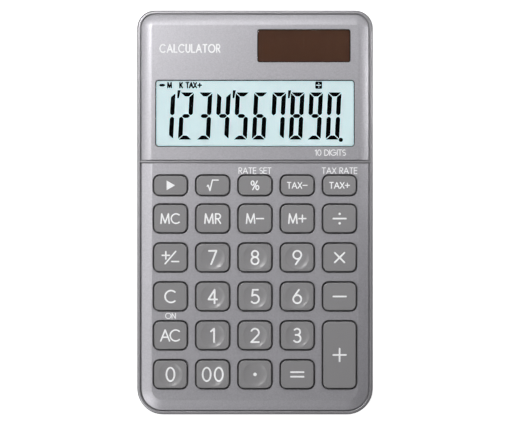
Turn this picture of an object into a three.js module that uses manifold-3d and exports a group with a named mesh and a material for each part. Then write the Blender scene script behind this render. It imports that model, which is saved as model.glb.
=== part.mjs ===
// A slim pocket calculator, lying face up on its four feet.
//
// Millimetres. +X is to the right of a person reading the display, +Y runs from the keys to the
// display end, +Z points up out of the face. The origin is on the surface that the feet stand on,
// under the middle of the case.
//
// From the back up: rubber feet and screws, rear cover, circuit board, key membrane, keys, front case
// with its deck, and on the deck two crowned fascias, the display panel and the keypad panel. The
// display, the solar cell and the button cell hang in openings and a well of the deck.

import * as THREE from "three";
import { mergeVertices } from "three/addons/utils/BufferGeometryUtils.js";
import Module from "manifold-3d";

const wasm = await Module();
wasm.setup();

// ---------------------------------------------------------------- driving dimensions, in millimetres

const body = { width: 70, length: 120, topRadius: 5.2, bottomRadius: 7.7, wall: 1.2, partingHeight: 4.3 };
const rim = { width: 0.9, proud: 0.55, round: 0.45 };
const rear = { floor: 1.0, edge: 1.5, lipHeight: 0.7, lipThickness: 0.5, ribWidth: 0.9 };
const deck = { thickness: 0.8, relief: 0.15, railWidth: 2.0 };
const fascia = { groove: 0.37, thickness: 0.95, slope: 3.0, drop: 0.7, glue: 0.05 };
const bar = { width: 0.6, groove: 0.25, proud: 0.75 };

const keypad = { columns: 5, rows: 5, sideMargin: 3.4, topMargin: 3.23, bottomMargin: 6.22 };
const land = { between: 2.05, rows: 2.56, functionRow: 2.11 };
const key = {
  functionLength: 6.5,
  gap: 0.43,
  cornerRadius: 1.65,
  proud: 1.0,
  travel: 0.8,
  bevel: 0.22,
  flange: 0.6,
  catch: 0.72,
  stemSize: 3.4,
  stemLength: 0.15,
  dishMargin: 0.5,
  dishDepth: 0.35,
};

const board = { thickness: 0.8, space: 1.1, endGap: 1.0, sideGap: 0.3 };
const membrane = { sheet: 0.35, pressed: 0.2, domeWall: 0.35, domeBase: 2.9, domeTop: 1.9, border: 0.6 };
const chip = { radius: 4.2, height: 0.85 };
const capacitor = { length: 3.2, width: 1.6, height: 0.75 };

const display = { sideMargin: 4.1, length: 19.9, bottomMargin: 3.85, radius: 1.0 };
const solar = { width: 27.7, length: 9.85, radius: 0.7, sideMargin: 5.35, topMargin: 4.3, above: 5.2 };
const pane = { sunk: 0.3, flange: 0.9, flangeThickness: 0.42, clearance: 0.1 };
const lcd = { border: 1.35, sheet: 0.65, seal: 0.05, film: 0.18, ledge: 2.2 };
const frame = { wall: 0.8, floor: 0.8 };
const ribbon = { width: 46, thickness: 0.1, bond: 1.5, bend: 0.2 };
const photocell = { border: 0.5, thickness: 1.1 };

const cell = { radius: 5.8, height: 3.05, capRadius: 4.6, capStep: 0.35, edge: 0.3 };
const well = { wall: 1.05, slot: 4.4, lift: 0.3 };
const spring = { width: 3.6, thickness: 0.2, standOff: 0.45, toe: 2 };
const lead = { radius: 0.35, bond: 3, underBoard: 3.5, spacing: 1.6 };

const screw = { radius: 0.7, length: 3.0, headRadius: 1.45, headHeight: 0.8, seat: 0.8, sunk: 1.3 };
const screwPlace = { topSide: 3.8, bottomSide: 8, bottomEnd: 4.6 };
const boss = { radius: 1.55, cupWall: 0.7 };
const foot = { radius: 3, height: 0.9, proud: 0.5, fromSide: 10, fromTop: 8, fromBottom: 12.5 };

const clearance = 0.05; // between two pieces that only touch
const fit = 0.15; // round a piece that drops into its seat
const past = 1; // how far a cutter runs beyond what it cuts
const RIB_ROWS = [1, 3, 4]; // the board's ribs lie below these rows of keys
const EDGE_STEPS = 3; // facets of a bevel
const CORNER_STEPS = 3; // pairs of facets in a large corner
const SMALL_CORNER_STEPS = 1;

// ---------------------------------------------------------------- heights and places that follow

const height = { rearFace: foot.proud };
height.floor = height.rearFace + rear.floor;
height.seat = height.rearFace + screw.sunk + screw.seat;
height.boardBack = height.floor + board.space;
height.board = height.boardBack + board.thickness;
height.domeTop = height.board + membrane.sheet + key.travel + membrane.pressed;
height.stem = height.domeTop + clearance;
height.flange = height.stem + key.stemLength;
height.deckBack = height.flange + key.flange + clearance;
height.deck = height.deckBack + deck.thickness;
height.fasciaBack = height.deck + fascia.glue;
height.face = height.fasciaBack + fascia.thickness;
height.keyTop = height.face + key.proud;
height.rim = height.deck + rim.proud;

const fasciaInset = rim.width + fascia.groove;
const fasciaWidth = body.width - 2 * fasciaInset;
const fasciaTop = body.length / 2 - fasciaInset;
const fasciaBottom = -body.length / 2 + fasciaInset;

const solarPlace = {
  x: fasciaWidth / 2 - solar.sideMargin - solar.width / 2,
  y: fasciaTop - solar.topMargin - solar.length / 2,
};
const displayWidth = fasciaWidth - 2 * display.sideMargin;
const displayY = solarPlace.y - solar.length / 2 - solar.above - display.length / 2;
const displayPanelBottom = displayY - display.length / 2 - display.bottomMargin;
const keypadTop = displayPanelBottom - 2 * bar.groove - bar.width;

const holeWidth =
  (fasciaWidth - 2 * keypad.sideMargin - (keypad.columns - 1) * land.between) / keypad.columns;
const rowsTop = keypadTop - keypad.topMargin - key.functionLength - land.functionRow;
const rowsBottom = fasciaBottom + keypad.bottomMargin;
const holeLength = (rowsTop - rowsBottom - (keypad.rows - 1) * land.rows) / keypad.rows;
const pitchX = holeWidth + land.between;
const pitchY = holeLength + land.rows;

const functionRowY = keypadTop - keypad.topMargin - key.functionLength / 2;
const rowY = (row) => (row === 0 ? functionRowY : rowsTop - holeLength / 2 - (row - 1) * pitchY);
const columnX = (column) => (column - (keypad.columns - 1) / 2) * pitchX;

/** The keys, row by row from the display down: name, column, row, and what sets it apart. */
const KEYS = [
  ["key_backspace", 0, 0],
  ["key_square_root", 1, 0],
  ["key_percent", 2, 0],
  ["key_tax_minus", 3, 0],
  ["key_tax_plus", 4, 0],
  ["key_memory_clear", 0, 1],
  ["key_memory_recall", 1, 1],
  ["key_memory_minus", 2, 1],
  ["key_memory_plus", 3, 1],
  ["key_divide", 4, 1],
  ["key_sign_change", 0, 2],
  ["key_7", 1, 2, { dished: true }],
  ["key_8", 2, 2, { dished: true }],
  ["key_9", 3, 2, { dished: true }],
  ["key_multiply", 4, 2],
  ["key_clear", 0, 3],
  ["key_4", 1, 3, { dished: true }],
  ["key_5", 2, 3, { dished: true }],
  ["key_6", 3, 3, { dished: true }],
  ["key_minus", 4, 3],
  ["key_all_clear", 0, 4],
  ["key_1", 1, 4, { dished: true }],
  ["key_2", 2, 4, { dished: true }],
  ["key_3", 3, 4, { dished: true }],
  ["key_plus", 4, 4, { tall: true }],
  ["key_0", 0, 5, { dished: true }],
  ["key_00", 1, 5, { dished: true }],
  ["key_point", 2, 5, { dished: true }],
  ["key_equals", 3, 5],
].map(([name, column, row, { dished = false, tall = false } = {}]) => ({
  name,
  dished,
  x: columnX(column),
  y: tall ? (rowY(row) + rowY(row + 1)) / 2 : rowY(row),
  width: holeWidth,
  length: (row === 0 ? key.functionLength : holeLength) + (tall ? pitchY : 0),
  domes: tall ? [pitchY / 2, -pitchY / 2] : [0],
}));

const topScrewX = body.width / 2 - screwPlace.topSide;
const bottomScrewX = body.width / 2 - screwPlace.bottomSide;
const bottomScrewY = -body.length / 2 + screwPlace.bottomEnd;
const SCREWS = [
  ["case_screw_top_left", -topScrewX, solarPlace.y],
  ["case_screw_top_right", topScrewX, solarPlace.y],
  ["case_screw_bottom_left", -bottomScrewX, bottomScrewY],
  ["case_screw_bottom_right", bottomScrewX, bottomScrewY],
].map(([name, x, y]) => ({ name, x, y }));

const FEET = [
  ["rubber_foot_top_left", -1, 1],
  ["rubber_foot_top_right", 1, 1],
  ["rubber_foot_bottom_left", -1, -1],
  ["rubber_foot_bottom_right", 1, -1],
].map(([name, side, end]) => ({
  name,
  x: side * (body.width / 2 - foot.fromSide),
  y: end * (body.length / 2 - (end > 0 ? foot.fromTop : foot.fromBottom)),
}));

const photocellWidth = solar.width + 2 * photocell.border;
const photocellLength = solar.length + 2 * photocell.border;
const wellRadius = cell.radius + fit + well.wall;
const wellX = (-topScrewX + boss.radius + (solarPlace.x - photocellWidth / 2 - fit)) / 2;

const glassWidth = displayWidth + 2 * lcd.border;
const glassTop = displayY + display.length / 2 + lcd.border;
const frontGlassBottom = displayY - display.length / 2 - lcd.border;
const rearGlassBottom = frontGlassBottom - lcd.ledge;
height.polarizer = height.deck - clearance;
height.frontGlass = height.polarizer - lcd.film;
height.ledge = height.frontGlass - lcd.sheet - lcd.seal;
height.rearGlass = height.ledge - lcd.sheet;
height.reflector = height.rearGlass - lcd.film;
height.frame = height.reflector - clearance - frame.floor;

const frameTop = glassTop + fit + frame.wall;
const frameBottom = rearGlassBottom - fit - frame.wall;
const wellY = Math.max(solarPlace.y, frameTop + fit + wellRadius);
const boardTop = frameBottom - clearance - fit;
const boardBottom = -body.length / 2 + body.wall + board.endGap;
const boardWidth = body.width - 2 * (body.wall + board.sideGap);
const ribbonFoot = boardTop - clearance;
const membraneTop = Math.min(
  ribbonFoot - ribbon.bond - clearance,
  functionRowY + key.functionLength / 2 + key.catch,
);
const lastRowY = rowY(keypad.rows);
const membraneBottom = Math.max(lastRowY - holeLength / 2, lastRowY - membrane.domeBase - membrane.border);
const railInner = body.width / 2 - body.wall - deck.railWidth;
const membraneWidth = 2 * (railInner - fit);

// ---------------------------------------------------------------- finishes

const finish = (color, roughness, metalness = 0, opacity = 1) =>
  new THREE.MeshStandardMaterial({ color, roughness, metalness, opacity, transparent: opacity < 1 });

const FINISH = {
  fascia: finish(0xb4b2b8, 0.42, 0.35),
  case: finish(0x8e8c91, 0.4, 0.3),
  rear: finish(0x7d7b80, 0.5),
  key: finish(0x838285, 0.45),
  pane: finish(0xe8f2f2, 0.05, 0, 0.35),
  glass: finish(0xd6e6e6, 0.08),
  film: finish(0xcfe5e6, 0.35),
  frame: finish(0xe6e6e2, 0.5),
  ribbon: finish(0x3c3a36, 0.4),
  silicon: finish(0x472f26, 0.25),
  silicone: finish(0xb9bec2, 0.6),
  board: finish(0xa5763c, 0.6),
  epoxy: finish(0x111112, 0.35),
  ceramic: finish(0xb79a73, 0.5),
  steel: finish(0xc9c9c6, 0.25, 1),
  redWire: finish(0xb02018, 0.45),
  blackWire: finish(0x18181a, 0.45),
  rubber: finish(0x3b3a3c, 0.85),
};

// ---------------------------------------------------------------- geometry helpers

/** A closed three.js geometry as a solid that can be joined and cut. */
function solid(geometry) {
  const bare = geometry.clone();
  bare.deleteAttribute("normal");
  bare.deleteAttribute("uv");
  const merged = mergeVertices(bare, 1e-4);
  return new wasm.Manifold(
    new wasm.Mesh({
      numProp: 3,
      vertProperties: merged.attributes.position.array,
      triVerts: new Uint32Array(merged.index.array),
    }),
  );
}

/** A solid back as a three.js geometry. */
function geometryOf(manifold) {
  const { vertProperties, triVerts } = manifold.getMesh();
  const geometry = new THREE.BufferGeometry();
  geometry.setAttribute("position", new THREE.BufferAttribute(vertProperties, 3));
  geometry.setIndex(new THREE.BufferAttribute(triVerts, 1));
  geometry.computeVertexNormals();
  return geometry;
}

const join = (solids) => solids.reduce((whole, next) => whole.add(next));

const cut = (whole, cutters) => cutters.reduce((rest, cutter) => rest.subtract(cutter), whole);

/** A rectangle with round corners, centred on (x, y); its lower corners may have their own radius. */
function roundedRect(width, length, radius, { x = 0, y = 0, lowerRadius = radius } = {}) {
  const [left, right] = [x - width / 2, x + width / 2];
  const [low, high] = [y - length / 2, y + length / 2];
  const shape = new THREE.Shape();
  shape.moveTo(left + lowerRadius, low);
  shape.lineTo(right - lowerRadius, low);
  shape.absarc(right - lowerRadius, low + lowerRadius, lowerRadius, -Math.PI / 2, 0);
  shape.lineTo(right, high - radius);
  shape.absarc(right - radius, high - radius, radius, 0, Math.PI / 2);
  shape.lineTo(left + radius, high);
  shape.absarc(left + radius, high - radius, radius, Math.PI / 2, Math.PI);
  shape.lineTo(left, low + lowerRadius);
  shape.absarc(left + lowerRadius, low + lowerRadius, lowerRadius, Math.PI, 1.5 * Math.PI);
  return shape;
}

/** The outline of the case, moved in from its widest line. */
const caseOutline = (inset) =>
  roundedRect(body.width - 2 * inset, body.length - 2 * inset, body.topRadius - inset, {
    lowerRadius: body.bottomRadius - inset,
  });

/** A shape raised from one height to another. */
function prism(shape, low, high, curveSegments = SMALL_CORNER_STEPS) {
  const raised = { depth: high - low, bevelEnabled: false, curveSegments };
  return new THREE.ExtrudeGeometry(shape, raised).translate(0, 0, low);
}

/** A shape raised from low to high, both of whose end edges are rounded inwards by a quarter ellipse. */
const roundedPrism = (shape, low, high, size, rise, steps, cornerSteps) =>
  new THREE.ExtrudeGeometry(shape, {
    depth: high - low - 2 * rise,
    bevelEnabled: true,
    bevelSize: size,
    bevelOffset: -size,
    bevelThickness: rise,
    bevelSegments: steps,
    curveSegments: cornerSteps,
  }).translate(0, 0, low + rise);

/** A box between two corners. */
function box([x0, y0, z0], [x1, y1, z1]) {
  const geometry = new THREE.BoxGeometry(x1 - x0, y1 - y0, z1 - z0);
  return solid(geometry.translate((x0 + x1) / 2, (y0 + y1) / 2, (z0 + z1) / 2));
}

/** A box of a width and a length about (x, y), between two heights. */
const block = (x, y, width, length, low, high) =>
  box([x - width / 2, y - length / 2, low], [x + width / 2, y + length / 2, high]);

/** A solid of revolution about a vertical line through (x, y), from points of [radius, height]. */
function turned(profile, segments, x = 0, y = 0) {
  const points = profile.map(([radius, z]) => new THREE.Vector2(radius, z));
  return new THREE.LatheGeometry(points, segments).rotateX(Math.PI / 2).translate(x, y, 0);
}

const rod = (radius, low, high, x, y, segments = 16) =>
  solid(turned([[0, low], [radius, low], [radius, high], [0, high]], segments, x, y));

/** A round wire along a smooth line through points. */
function wireAlong(points) {
  const line = new THREE.CatmullRomCurve3(points.map(([x, y, z]) => new THREE.Vector3(x, y, z)));
  const section = new THREE.Shape();
  section.absarc(0, 0, lead.radius, 0, 2 * Math.PI);
  return new THREE.ExtrudeGeometry(section, { extrudePath: line, steps: 16, curveSegments: 4 });
}

/** A strip bent along points of [y, z], its thickness on the upper side, between two values of x. */
function bentStrip(points, thickness, x0, x1) {
  const line = points.map(([y, z]) => new THREE.Vector2(y, z));
  const offset = line.map((point, i) => {
    const along = line[Math.min(i + 1, line.length - 1)].clone().sub(line[Math.max(i - 1, 0)]).normalize();
    return point.clone().add(new THREE.Vector2(-along.y, along.x).multiplyScalar(thickness));
  });
  const shape = new THREE.Shape([...line, ...offset.reverse()]);
  const geometry = new THREE.ExtrudeGeometry(shape, { depth: x1 - x0, bevelEnabled: false });
  // The outline is drawn in (x, y) and stands up into (y, z) by turning the axes round once.
  return geometry.applyMatrix4(new THREE.Matrix4().set(0, 0, 1, x0, 1, 0, 0, 0, 0, 1, 0, 0, 0, 0, 0, 1));
}

const calculator = new THREE.Group();

/** Adds one sub-part to the calculator. */
function add(name, geometry, material) {
  const mesh = new THREE.Mesh(geometry, material);
  mesh.name = name;
  calculator.add(mesh);
}

// ---------------------------------------------------------------- casing

/** Front case: side wall and rim, the deck under the fascias, screw bosses, board rails and cell well. */
function frontCase() {
  const outside = solid(
    roundedPrism(caseOutline(0), 0, height.rim, rim.round, rim.round, EDGE_STEPS, CORNER_STEPS),
  ).subtract(solid(prism(caseOutline(-past), -past, body.partingHeight)));
  const recess = solid(prism(caseOutline(rim.width), height.deck, height.rim + past, CORNER_STEPS));
  const cavity = solid(prism(caseOutline(body.wall), 0, height.deckBack, CORNER_STEPS));
  const lipSeat = solid(
    prism(
      caseOutline(body.wall - rear.lipThickness - clearance),
      0,
      body.partingHeight + rear.lipHeight + clearance,
      CORNER_STEPS,
    ),
  );
  const shell = cut(outside, [recess, cavity, lipSeat]);

  const barMiddle = displayPanelBottom - bar.groove - bar.width / 2;
  const rooted = height.deckBack + clearance;
  const divider = block(0, barMiddle, body.width - rim.width, bar.width, rooted, height.deck + bar.proud);
  const rails = [-1, 1].map((side) => {
    const [inner, outer] = [side * railInner, side * (body.width / 2 - body.wall - fit)];
    return box(
      [Math.min(inner, outer), rowY(keypad.rows), height.board + clearance],
      [Math.max(inner, outer), functionRowY, rooted],
    );
  });
  const bosses = SCREWS.map(({ x, y }) => rod(boss.radius, height.seat + clearance, rooted, x, y));
  const wellWall = rod(wellRadius, height.floor + well.lift, rooted, wellX, wellY, 24);

  const [low, high] = [height.deckBack - past, height.deck + past];
  const keyHoles = KEYS.map(({ x, y, width, length }) =>
    block(x, y, width + 2 * deck.relief, length + 2 * deck.relief, low, high),
  );
  const displayHole = box(
    [-glassWidth / 2 - fit, frontGlassBottom - fit, low],
    [glassWidth / 2 + fit, glassTop + fit, high],
  );
  const solarHole = block(
    solarPlace.x,
    solarPlace.y,
    photocellWidth + 2 * fit,
    photocellLength + 2 * fit,
    low,
    high,
  );
  const pilots = SCREWS.map(({ x, y }) =>
    rod(screw.radius + clearance, 0, height.deckBack - clearance, x, y, 12),
  );
  const cellBore = rod(cell.radius + fit, 0, height.deckBack, wellX, wellY, 24);
  const cellSlot = box(
    [wellX - well.slot / 2, wellY - wellRadius - past, 0],
    [wellX + well.slot / 2, wellY, height.deckBack],
  );
  return cut(join([shell, divider, ...rails, ...bosses, cut(wellWall, [cellBore, cellSlot])]), [
    ...keyHoles,
    displayHole,
    solarHole,
    ...pilots,
  ]);
}

/** Rear cover: a shallow tray with a lip, screw cups, foot recesses, and ribs that hold the board. */
function rearCover() {
  const outside = solid(
    roundedPrism(
      caseOutline(0),
      height.rearFace,
      height.face,
      rear.edge,
      rear.edge,
      EDGE_STEPS,
      CORNER_STEPS,
    ),
  );
  const above = solid(prism(caseOutline(-past), body.partingHeight - clearance, height.face + past));
  const lipTop = body.partingHeight + rear.lipHeight;
  const lip = solid(prism(caseOutline(body.wall - rear.lipThickness), height.floor, lipTop, CORNER_STEPS));
  const inside = solid(prism(caseOutline(body.wall), height.floor, height.face, CORNER_STEPS));
  const tray = outside.subtract(above).add(lip).subtract(inside);

  const cupRadius = screw.headRadius + fit + boss.cupWall;
  const cups = SCREWS.map(({ x, y }) => rod(cupRadius, height.floor - fit, height.seat, x, y));
  const walls = solid(prism(caseOutline(body.wall / 2), height.rearFace, height.seat, CORNER_STEPS));
  const ribs = RIB_ROWS.map((row) => {
    const y = (rowY(row) + rowY(row + 1)) / 2;
    return block(0, y, boardWidth, rear.ribWidth, height.floor - fit, height.boardBack - clearance);
  });
  const counterbores = SCREWS.map(({ x, y }) =>
    rod(screw.headRadius + fit, 0, height.rearFace + screw.sunk, x, y),
  );
  const screwHoles = SCREWS.map(({ x, y }) => rod(screw.radius + fit, 0, height.seat + past, x, y, 12));
  const footSeats = FEET.map(({ x, y }) =>
    rod(foot.radius + clearance, 0, height.rearFace + foot.height - foot.proud, x, y, 20),
  );
  const cupsInside = cups.map((cup) => cup.intersect(walls));
  return cut(join([tray, ...cupsInside, ...ribs]), [...counterbores, ...screwHoles, ...footSeats]);
}

/** The crown that both fascias are cut from: a plateau whose sides and ends roll down to the rim. */
const crown = () =>
  solid(
    roundedPrism(
      caseOutline(fasciaInset),
      height.fasciaBack - fascia.drop - past,
      height.face,
      fascia.slope,
      fascia.drop,
      EDGE_STEPS,
      CORNER_STEPS,
    ),
  );

/** The part of the crown between two values of y, above the deck. */
function fasciaBlank(low, high) {
  const half = body.width / 2;
  return crown().intersect(box([-half, low, height.fasciaBack], [half, high, height.face + past]));
}

/** A pane's opening in the display panel, with the wider seat of its flange on the back. */
function paneOpening(x, y, width, length, radius) {
  const through = roundedRect(width, length, radius, { x, y });
  const seat = roundedRect(width + 2 * pane.flange, length + 2 * pane.flange, radius, { x, y });
  const seatTop = height.fasciaBack + pane.flangeThickness + pane.clearance;
  return solid(prism(through, 0, height.face + past, 2)).add(solid(prism(seat, 0, seatTop)));
}

/** Display panel: the upper fascia, with openings for the display pane and the solar pane. */
function displayPanel() {
  return cut(fasciaBlank(displayPanelBottom, fasciaTop + past), [
    paneOpening(0, displayY, displayWidth, display.length, display.radius),
    paneOpening(solarPlace.x, solarPlace.y, solar.width, solar.length, solar.radius),
  ]);
}

/** Keypad panel: the lower fascia, with one hole for each key. */
function keypadPanel() {
  const holes = KEYS.map(({ x, y, width, length }) =>
    solid(prism(roundedRect(width, length, key.cornerRadius + key.gap, { x, y }), 0, height.face + past)),
  );
  return cut(fasciaBlank(fasciaBottom - past, keypadTop), holes);
}

// ---------------------------------------------------------------- keys and what is under them

/** One key: cap with bevelled top edge, dish on the figure keys, flange that the deck holds, and stem. */
function keyCap({ x, y, width, length, dished, domes }) {
  const [capWidth, capLength] = [width - 2 * key.gap, length - 2 * key.gap];
  const flangeTop = height.flange + key.flange;
  const cap = solid(
    roundedPrism(
      roundedRect(capWidth, capLength, key.cornerRadius),
      height.flange,
      height.keyTop,
      key.bevel,
      key.bevel,
      1,
      SMALL_CORNER_STEPS,
    ),
  );
  const flange = block(0, 0, width + 2 * key.catch, length + 2 * key.catch, height.flange, flangeTop);
  const stems = domes.map((at) => block(0, at, key.stemSize, key.stemSize, height.stem, flangeTop));
  const whole = join([cap, flange, ...stems]);
  return geometryOf(dished ? whole.subtract(dishCutter(capWidth, capLength)) : whole).translate(x, y, 0);
}

/** The shallow bowl that is hollowed out of a figure key's top. */
function dishCutter(capWidth, capLength) {
  const radius = Math.min(capWidth, capLength) / 2 - key.dishMargin;
  const bowl = [0, 0.5, 1].map((share) => [share * radius, height.keyTop - key.dishDepth * (1 - share ** 2)]);
  return solid(turned([...bowl, [radius, height.keyTop + past], [0, height.keyTop + past]], 16));
}

/** Key membrane: a silicone sheet with a hollow dome under every key. */
function keyMembrane() {
  const middle = (membraneTop + membraneBottom) / 2;
  const outline = roundedRect(membraneWidth, membraneTop - membraneBottom, 1, { y: middle });
  const low = height.board + clearance / 2;
  const sheetTop = low + membrane.sheet;
  const sheet = solid(prism(outline, low, sheetTop));
  const places = KEYS.flatMap(({ x, y, domes }) => domes.map((at) => [x, y + at]));
  const wall = membrane.domeWall;
  const ceiling = height.domeTop - 2 * wall;
  const cone = (base, top, from, to) => [[0, from], [base, from], [top, to], [0, to]];
  const outsides = places.map(([x, y]) =>
    solid(turned(cone(membrane.domeBase, membrane.domeTop, low, height.domeTop), 8, x, y)),
  );
  const insides = places.map(([x, y]) =>
    solid(turned(cone(membrane.domeBase - wall, membrane.domeTop - wall, low - clearance, ceiling), 8, x, y)),
  );
  return cut(join([sheet, ...outsides]), insides);
}

/** Circuit board: one stiff sheet under the keypad, with round clearance for the lower bosses. */
function circuitBoard() {
  const middle = (boardTop + boardBottom) / 2;
  const outline = roundedRect(boardWidth, boardTop - boardBottom, 1, {
    y: middle,
    lowerRadius: body.bottomRadius - body.wall,
  });
  const holes = SCREWS.map(({ x, y }) => rod(boss.radius + fit, 0, height.face, x, y, 12));
  return cut(solid(prism(outline, height.boardBack, height.board, 2)), holes);
}

const chipPlace = { x: 0, y: (rowY(2) + rowY(3)) / 2 };

/** The blob of resin over the chip, on the back of the board. */
function chipCover() {
  const [top, low] = [height.boardBack - clearance, height.boardBack - chip.height];
  const dome = [0, 1, 2, 3].map((step) => {
    const angle = (step / 3) * (Math.PI / 2);
    return [chip.radius * Math.sin(angle), top - (top - low) * Math.cos(angle)];
  });
  return turned([...dome, [0, top]], 20, chipPlace.x, chipPlace.y);
}

/** The chip capacitor beside the resin. */
function smoothingCapacitor() {
  const x = chipPlace.x + chip.radius + capacitor.length;
  const top = height.boardBack - clearance;
  return block(x, chipPlace.y, capacitor.length, capacitor.width, top - capacitor.height, top);
}

// ---------------------------------------------------------------- display and solar cell

/** A clear pane whose middle stands up into its opening and whose flange sits behind the panel. */
function clearPane(x, y, width, length, radius) {
  const gap = pane.clearance;
  const outer = 2 * (pane.flange - gap);
  const flange = roundedRect(width + outer, length + outer, radius, { x, y });
  const middle = roundedRect(width - 2 * gap, length - 2 * gap, radius - gap, { x, y });
  const low = height.fasciaBack;
  return solid(prism(flange, low, low + pane.flangeThickness)).add(
    solid(prism(middle, low, height.face - pane.sunk, 2)),
  );
}

/** The two glass sheets of the display; the rear one is longer, and its ledge carries the ribbon. */
function lcdGlass() {
  const half = glassWidth / 2;
  const front = box([-half, frontGlassBottom, height.ledge], [half, glassTop, height.frontGlass]);
  const rear = box([-half, rearGlassBottom, height.rearGlass], [half, glassTop, height.ledge]);
  return front.add(rear);
}

/** A film of the display's size, set in a little from the glass. */
function lcdFilm(low) {
  const half = glassWidth / 2 - fit;
  return box([-half, frontGlassBottom + fit, low + clearance / 2], [half, glassTop - fit, low + lcd.film]);
}

/** Display frame: an open tray that holds the glass up under the deck. */
function lcdFrame() {
  const [inner, outer] = [glassWidth / 2 + fit, glassWidth / 2 + fit + frame.wall];
  const top = height.deckBack - clearance;
  const whole = box([-outer, frameBottom, height.frame], [outer, frameTop, top]);
  const seat = box(
    [-inner, frameBottom + frame.wall, height.frame + frame.floor],
    [inner, frameTop - frame.wall, top + past],
  );
  const window = block(0, displayY, displayWidth, display.length, 0, top);
  const ribbonWay = box(
    [-ribbon.width / 2 - fit, frameBottom - past, height.ledge - ribbon.thickness - fit],
    [ribbon.width / 2 + fit, rearGlassBottom, top + past],
  );
  return cut(whole, [seat, window, ribbonWay]);
}

/** The flat ribbon from the ledge of the glass, over the frame, down to the edge of the board. */
function lcdRibbon() {
  const [ledge, pad] = [height.ledge + clearance / 2, height.board + clearance];
  const points = [
    [ribbonFoot - ribbon.bond, pad],
    [ribbonFoot - 2 * ribbon.bend, pad],
    [ribbonFoot - ribbon.bend, pad + ribbon.bend],
    [frameBottom - 2 * ribbon.bend, ledge - ribbon.bend],
    [frameBottom - ribbon.bend, ledge],
    [frontGlassBottom - fit, ledge],
  ];
  return bentStrip(points, ribbon.thickness, -ribbon.width / 2, ribbon.width / 2);
}

/** The solar cell: a glass plate just behind its pane. */
function solarCell() {
  const top = height.deck - clearance;
  const { x, y } = solarPlace;
  return block(x, y, photocellWidth, photocellLength, top - photocell.thickness, top);
}

// ---------------------------------------------------------------- button cell, contacts and leads

const cellLow = height.floor + clearance;
const cellTop = cellLow + cell.height;

/** The button cell: can below, smaller cap above. */
function coinCell() {
  const { radius, capRadius, capStep, edge } = cell;
  return turned(
    [
      [0, cellLow],
      [radius - edge, cellLow],
      [radius, cellLow + edge],
      [radius, cellTop - capStep - edge],
      [radius - edge, cellTop - capStep],
      [capRadius, cellTop - capStep],
      [capRadius - edge, cellTop],
      [0, cellTop],
    ],
    24,
    wellX,
    wellY,
  );
}

const leadHeight = height.boardBack - clearance - lead.radius;
const slotY = wellY - cell.radius - spring.standOff;

/** The leaf that rises in the well's slot and bends over on to the cell's cap. */
function negativeContact() {
  const [roof, touch] = [height.deckBack - spring.thickness - clearance, cellTop + clearance];
  const points = [
    [slotY - fit, leadHeight - lead.radius],
    [slotY - fit, roof],
    [wellY - cell.capRadius, roof],
    [wellY - spring.toe, touch],
    [wellY, touch],
    [wellY + spring.toe, touch + fit],
  ];
  return bentStrip(points, spring.thickness, wellX - spring.width / 2, wellX - fit);
}

/** The bowed spring in the well's slot, which presses on the can's side. */
function positiveContact() {
  const [low, high] = [leadHeight - lead.radius, cellTop - cell.capStep];
  const points = [
    [slotY, low],
    [slotY + spring.standOff - clearance, (low + high) / 2],
    [slotY, high],
  ];
  return bentStrip(points, spring.thickness, wellX + fit, wellX + spring.width / 2);
}

/** The four leads, which all pass between the display frame and the rear cover to the board's back. */
function leads() {
  const photocellBack = height.deck - photocell.thickness - 2 * clearance - lead.radius;
  const photocellLow = solarPlace.y - photocellLength / 2;
  const tail = slotY - fit - spring.thickness - clearance;
  const toBoard = (x, padX) => [
    [x, frameTop, leadHeight],
    [x, frameTop - lead.bond, leadHeight],
    [padX, boardTop, leadHeight],
    [padX, boardTop - lead.underBoard, leadHeight],
  ];
  const fromPhotocell = (side, padX) => {
    const x = solarPlace.x + side * (photocellWidth / 2 - lead.bond);
    const bond = [
      [x, photocellLow + lead.bond, photocellBack],
      [x, photocellLow + lead.bond / 2, photocellBack],
    ];
    return [...bond, ...toBoard(x, padX)];
  };
  const fromCell = (side, padX) => {
    const x = wellX + side * (spring.width / 4 + fit);
    return [[x, tail, leadHeight], ...toBoard(x, padX)];
  };
  const pads = [-1.5, -0.5, 0.5, 1.5].map((place) => place * lead.spacing);
  return [
    ["battery_lead_negative", FINISH.blackWire, fromCell(-1, pads[0])],
    ["battery_lead_positive", FINISH.redWire, fromCell(1, pads[1])],
    ["solar_lead_negative", FINISH.blackWire, fromPhotocell(-1, pads[2])],
    ["solar_lead_positive", FINISH.redWire, fromPhotocell(1, pads[3])],
  ];
}

// ---------------------------------------------------------------- fasteners and feet

/** A small screw with a domed head, driven up from the back. */
function caseScrew({ x, y }) {
  const seat = height.rearFace + screw.sunk - clearance;
  const head = seat - screw.headHeight;
  const tip = seat + screw.length;
  return turned(
    [
      [0, head],
      [screw.headRadius * 0.6, head],
      [screw.headRadius, head + screw.headHeight * 0.4],
      [screw.headRadius, seat],
      [screw.radius, seat],
      [screw.radius, tip - screw.radius],
      [screw.radius / 2, tip],
      [0, tip],
    ],
    12,
    x,
    y,
  );
}

/** A rubber foot: a disc with a worn-round lower edge, glued in its recess. */
function rubberFoot({ x, y }) {
  const round = foot.proud / 2;
  const top = foot.height - clearance;
  const side = [
    [foot.radius - round, 0],
    [foot.radius, round],
    [foot.radius, top],
  ];
  return turned([[0, 0], ...side, [0, top]], 20, x, y);
}

// ---------------------------------------------------------------- assembly

add("front_case", geometryOf(frontCase()), FINISH.case);
add("rear_cover", geometryOf(rearCover()), FINISH.rear);
add("display_panel", geometryOf(displayPanel()), FINISH.fascia);
add("keypad_panel", geometryOf(keypadPanel()), FINISH.fascia);

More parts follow.
